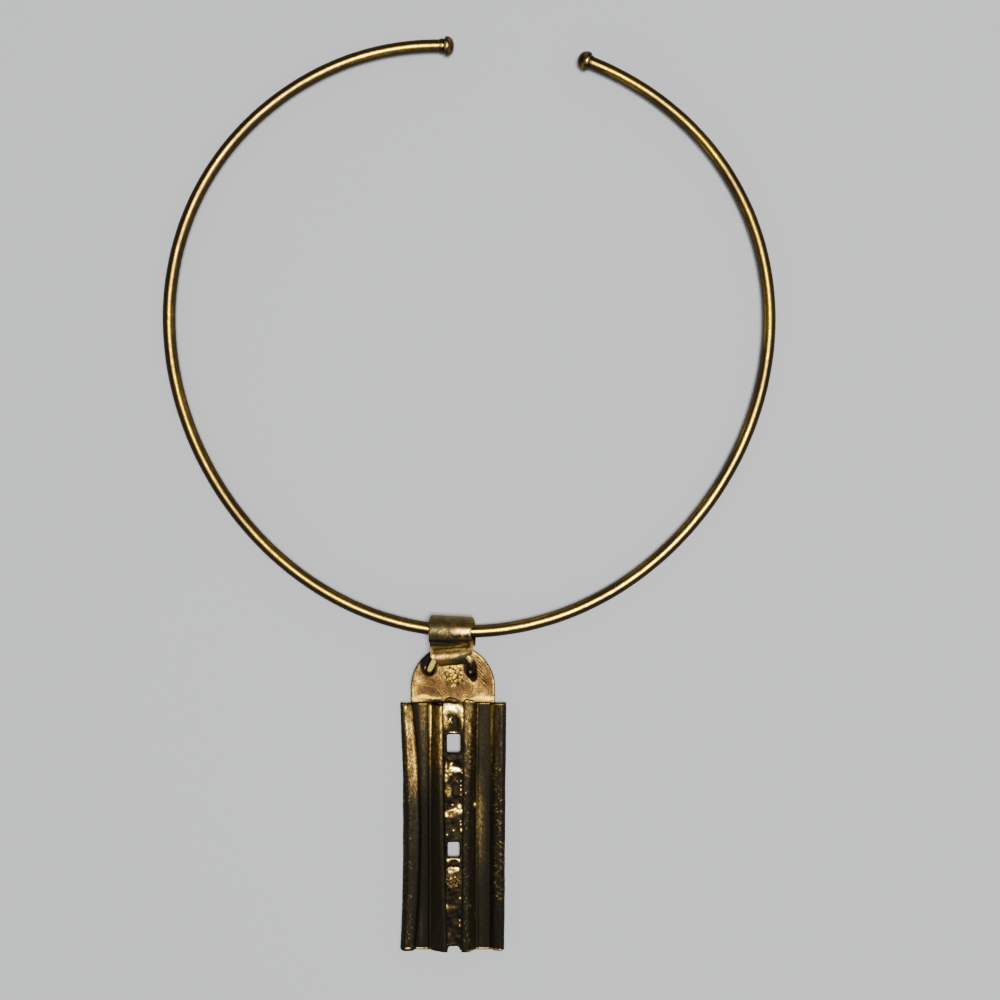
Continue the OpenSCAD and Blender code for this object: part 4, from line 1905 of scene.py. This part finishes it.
@dataclass
class RunStrip:
    """The strip of run, lumpy metal between the panels, with two small windows and a notch.

    Args:
        casting: the casting that it is a part of.
        foot_edges: places of its left and right edge at the foot.
        arch: its upper edge from right to left, as across and up.
        level: height of its underside.
        height: height of its upper side between the lumps.
        highest: height that no lump passes.
        rim: how far the rounding of its edges reaches inwards.
        spacing: distance between its points.
        edge_step: longest distance between points of its edges.
        windows: left, right, start and end of each window.
        window_corner: radius of the windows' corners.
        notch: left, right and start of the notch at the foot.
        foot_up: how far it ends above the casting's foot.
        crumbs: place across and down of the crumbly patch, with half its width and length.
        wear: how worn its front is between the lumps.
        back_wear: how worn its back is.
    """

    casting: Casting
    foot_edges: tuple[float, float] = (-1.5, 2.1)
    arch: tuple[tuple[float, float], ...] = (
        (2.45, 0.25), (1.75, 0.3), (1.1, 0.72), (0.4, 1.15), (-0.3, 1.4), (-0.9, 1.36), (-1.5, 1.0),
        (-2.0, 0.5), (-2.35, 0.25),
    )
    level: float = 1.25
    height: float = 2.15
    highest: float = 3.05
    rim: float = 0.28
    spacing: float = 0.12
    edge_step: float = 0.25
    windows: tuple[tuple[float, float, float, float], ...] = (
        (-1.3, 1.6, 6.9, 10.85),
        (-1.12, 1.42, 30.1, 33.4),
    )
    window_corner: float = 0.45
    notch: tuple[float, float, float] = (-1.1, 1.45, 52.5)
    foot_up: float = 0.35
    crumbs: tuple[float, float, float, float] = (0.1, 38.6, 2.1, 1.6)
    wear: float = 0.06
    back_wear: float = 0.1

    def window(self, left: float, right: float, start: float, end: float) -> Array:
        """Draws a window's edge with small round corners, turning right.

        Args:
            left: place of its left side.
            right: place of its right side.
            start: place of its upper side, down from the panels' top.
            end: place of its lower side.

        Returns:
            Its corners as across and up.
        """
        corner, steps = self.window_corner, np.linspace(0, math.pi / 2, 6)
        middle = ((left + right) / 2, -(start + end) / 2)
        half = ((right - left) / 2, (end - start) / 2)
        edge = []
        for quarter in range(4):
            turn = -quarter * math.pi / 2 - steps
            sign = (np.sign(math.cos(turn[2])), np.sign(math.sin(turn[2])))
            x = middle[0] + sign[0] * (half[0] - corner) + corner * np.cos(turn)
            y = middle[1] + sign[1] * (half[1] - corner) + corner * np.sin(turn)
            edge.append(np.column_stack([x, y]))
        return filled_loop(np.concatenate(edge), self.edge_step)

    def outline(self) -> Array:
        """Draws the outer edge, turning left, with the notch at the foot.

        Returns:
            Its corners as across and up.
        """
        foot = -self.casting.length + self.foot_up
        left, right, start = self.notch
        left_foot, right_foot = self.foot_edges
        corners = [
            *self.arch, (left_foot, foot), (left, foot),
            (left + 0.1, -start - 0.25), (left + 0.45, -start), (right - 0.45, -start),
            (right - 0.1, -start - 0.25), (right, foot), (right_foot, foot),
        ]
        return filled_loop(np.array(corners), self.edge_step)

    def crumble(self, across: Array, down: Array, face: Face) -> None:
        """Roughens the crumbly patch below the lower window.

        Args:
            across: place of each point across the pendant.
            down: place of each point down the pendant.
            face: the side of the strip that takes it.
        """
        x, y, wide, long = self.crumbs
        rough = np.exp(-((((across - x) / wide) ** 2 + ((down - y) / long) ** 2) ** 3))
        crumb = Ripple(64, 0.42, 0.02).at(face.lay)
        face.relief += crumb * rough
        face.wear += 6.5 * crumb * rough

    def build(self) -> bpy.types.Object:
        """Cuts the strip, raises its lumps and dresses it.

        Returns:
            The new object.
        """
        cut = CutSheet(self.outline(), [self.window(*w) for w in self.windows], self.spacing, self.rim)
        across, down = cut.points[:, 0], -cut.points[:, 1]
        lay = np.column_stack([across, down, across * 0])
        top = self.height + Ripple(61, 2.2, 0.035).at(lay) + Ripple(62, 0.8, 0.007).at(lay)
        front = Face(top, self.wear + Ripple(63, 1.5, 0.05).at(lay), lay)
        for mark in STRIP_MARKS:
            mark.press(across, down, front)
        self.crumble(across, down, front)
        front.relief = np.minimum(front.relief, self.highest)
        back = Face(np.full(len(top), self.level), np.full(len(top), self.back_wear), lay)
        cut.points = self.casting.place(across, down, top)[:, :2]
        skin = Skin()
        skin.cut_sheet(cut, front, back)
        return skin.piece("run_metal_strip", RUN_METAL, "pendant")


@dataclass
class Studio:
    """The pale floor, the soft light and the camera.

    Args:
        centre: the point under the camera.
        height: height of the camera above the resting surface.
        field: width that the picture shows, at the height of the wire.
        wire_level: height of the wire's centre line.
        floor: radius of the round floor.
        floor_points: number of points on its edge.
        paper: colour of the floor.
        paper_dull: its roughness.
        lamp_size: width of the square lamp, in metres.
        lamp_power: its power, in watts.
        lamp_place: where it stands, in metres.
        room: brightness of the room's walls and of its ceiling.
        room_rise: heights between which one goes over into the other, 0 level and 1 overhead.
        room_colour: colour of the room's light.
        sensor: width of the camera's sensor.
        nearest: nearest distance that the camera sees, in metres.
    """

    centre: tuple[float, float] = (6.71, -36.3)
    height: float = 292.1
    field: float = 215.0
    wire_level: float = 2.1
    floor: float = 650.0
    floor_points: int = 180
    paper: Colour = (0.66, 0.67, 0.66)
    paper_dull: float = 0.9
    lamp_size: float = 0.32
    lamp_power: float = 10.2
    lamp_place: tuple[float, float, float] = (0.1, -0.06, 0.95)
    room: tuple[float, float] = (0.6, 0.14)
    room_rise: tuple[float, float] = (0.1, 0.85)
    room_colour: Colour = (0.9, 0.95, 1.0)
    sensor: float = 36.0
    nearest: float = 0.01

    def build(self) -> None:
        """Sets the whole studio up."""
        self.build_floor()
        self.build_lamp()
        self.build_room()
        self.build_camera()

    def build_floor(self) -> None:
        """Lays a plain pale floor in the resting plane, round so that no corner of it shows."""
        turn = np.arange(self.floor_points) * TURN / self.floor_points
        edge = np.column_stack([np.cos(turn), np.sin(turn), np.zeros_like(turn)]) * self.floor * MM
        mesh = bpy.data.meshes.new("floor")
        mesh.from_pydata(edge.tolist(), [], [tuple(range(self.floor_points))])
        bench = Bench("floor_paper")
        shader = bench.add("ShaderNodeBsdfPrincipled")
        bench.feed(shader.inputs["Base Color"], (*self.paper, 1.0))
        bench.feed(shader.inputs["Roughness"], self.paper_dull)
        output = bench.add("ShaderNodeOutputMaterial")
        bench.feed(output.inputs["Surface"], shader.outputs["BSDF"])
        mesh.materials.append(bench.material)
        floor = placed("floor", mesh)

    def build_lamp(self) -> None:
        """Hangs a square soft lamp above the camera, turned to the middle of the floor."""
        light = bpy.data.lights.new("key", "AREA")
        light.size = self.lamp_size
        light.energy = self.lamp_power
        lamp = placed("key", light)
        lamp.location = self.lamp_place
        target = Vector((self.centre[0] * MM, self.centre[1] * MM, 0.0))
        lamp.rotation_euler = (target - lamp.location).to_track_quat("-Z", "Y").to_euler()

    def build_room(self) -> None:
        """Sets a dim room round the floor, with walls brighter than its ceiling."""
        world = bpy.data.worlds.new("room")
        world.use_nodes = True
        tree = world.node_tree
        way = tree.nodes.new("ShaderNodeTexCoord").outputs["Generated"]
        split = tree.nodes.new("ShaderNodeSeparateXYZ")
        tree.links.new(way, split.inputs[0])
        height = tree.nodes.new("ShaderNodeMapRange")
        height.interpolation_type = "SMOOTHSTEP"
        limits = (*self.room_rise, *self.room)
        for name, value in zip(("From Min", "From Max", "To Min", "To Max"), limits):
            height.inputs[name].default_value = value
        tree.links.new(split.outputs["Z"], height.inputs["Value"])
        back = tree.nodes["Background"]
        back.inputs["Color"].default_value = (*self.room_colour, 1.0)
        tree.links.new(height.outputs["Result"], back.inputs["Strength"])
        bpy.context.scene.world = world

    def build_camera(self) -> None:
        """Hangs a camera that looks straight down, framed as the photograph is."""
        data = bpy.data.cameras.new("camera")
        data.sensor_width = self.sensor
        data.lens = self.sensor * (self.height - self.wire_level) / self.field
        data.clip_start = self.nearest
        camera = placed("camera", data)
        camera.location = (self.centre[0] * MM, self.centre[1] * MM, self.height * MM)
        bpy.context.scene.camera = camera


def main() -> None:
    """Builds the studio and each piece in order."""
    logging.basicConfig(level=logging.INFO, format="%(name)s: %(message)s")
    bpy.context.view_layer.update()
    Studio().build()
    ring = NeckRing()
    ring.build()
    BallEnd(
        "ball_end_left", "end_cap_left", ring.left_end, outward=-1, seed=11, back=-0.62, crest=0.05,
    ).build(ring)
    BallEnd(
        "ball_end_right", "end_cap_right", ring.right_end, outward=1, seed=14, back=-1.18, crest=-0.5,
    ).build(ring)
    Bail().build()
    Link().build()
    casting = Casting()
    HangerPlate(casting).build()
    FlutedPanel(
        "fluted_panel_left", LEFT_FOLDS, LEFT_MARKS, casting, seed=71, specked=(-10.4, -8.8),
    ).build()
    FlutedPanel(
        "fluted_panel_right", RIGHT_FOLDS, RIGHT_MARKS, casting, seed=81, specked=(2.3, 4.0), scars=True,
    ).build()
    RunStrip(casting).build()


if __name__ == "__main__":
    main()
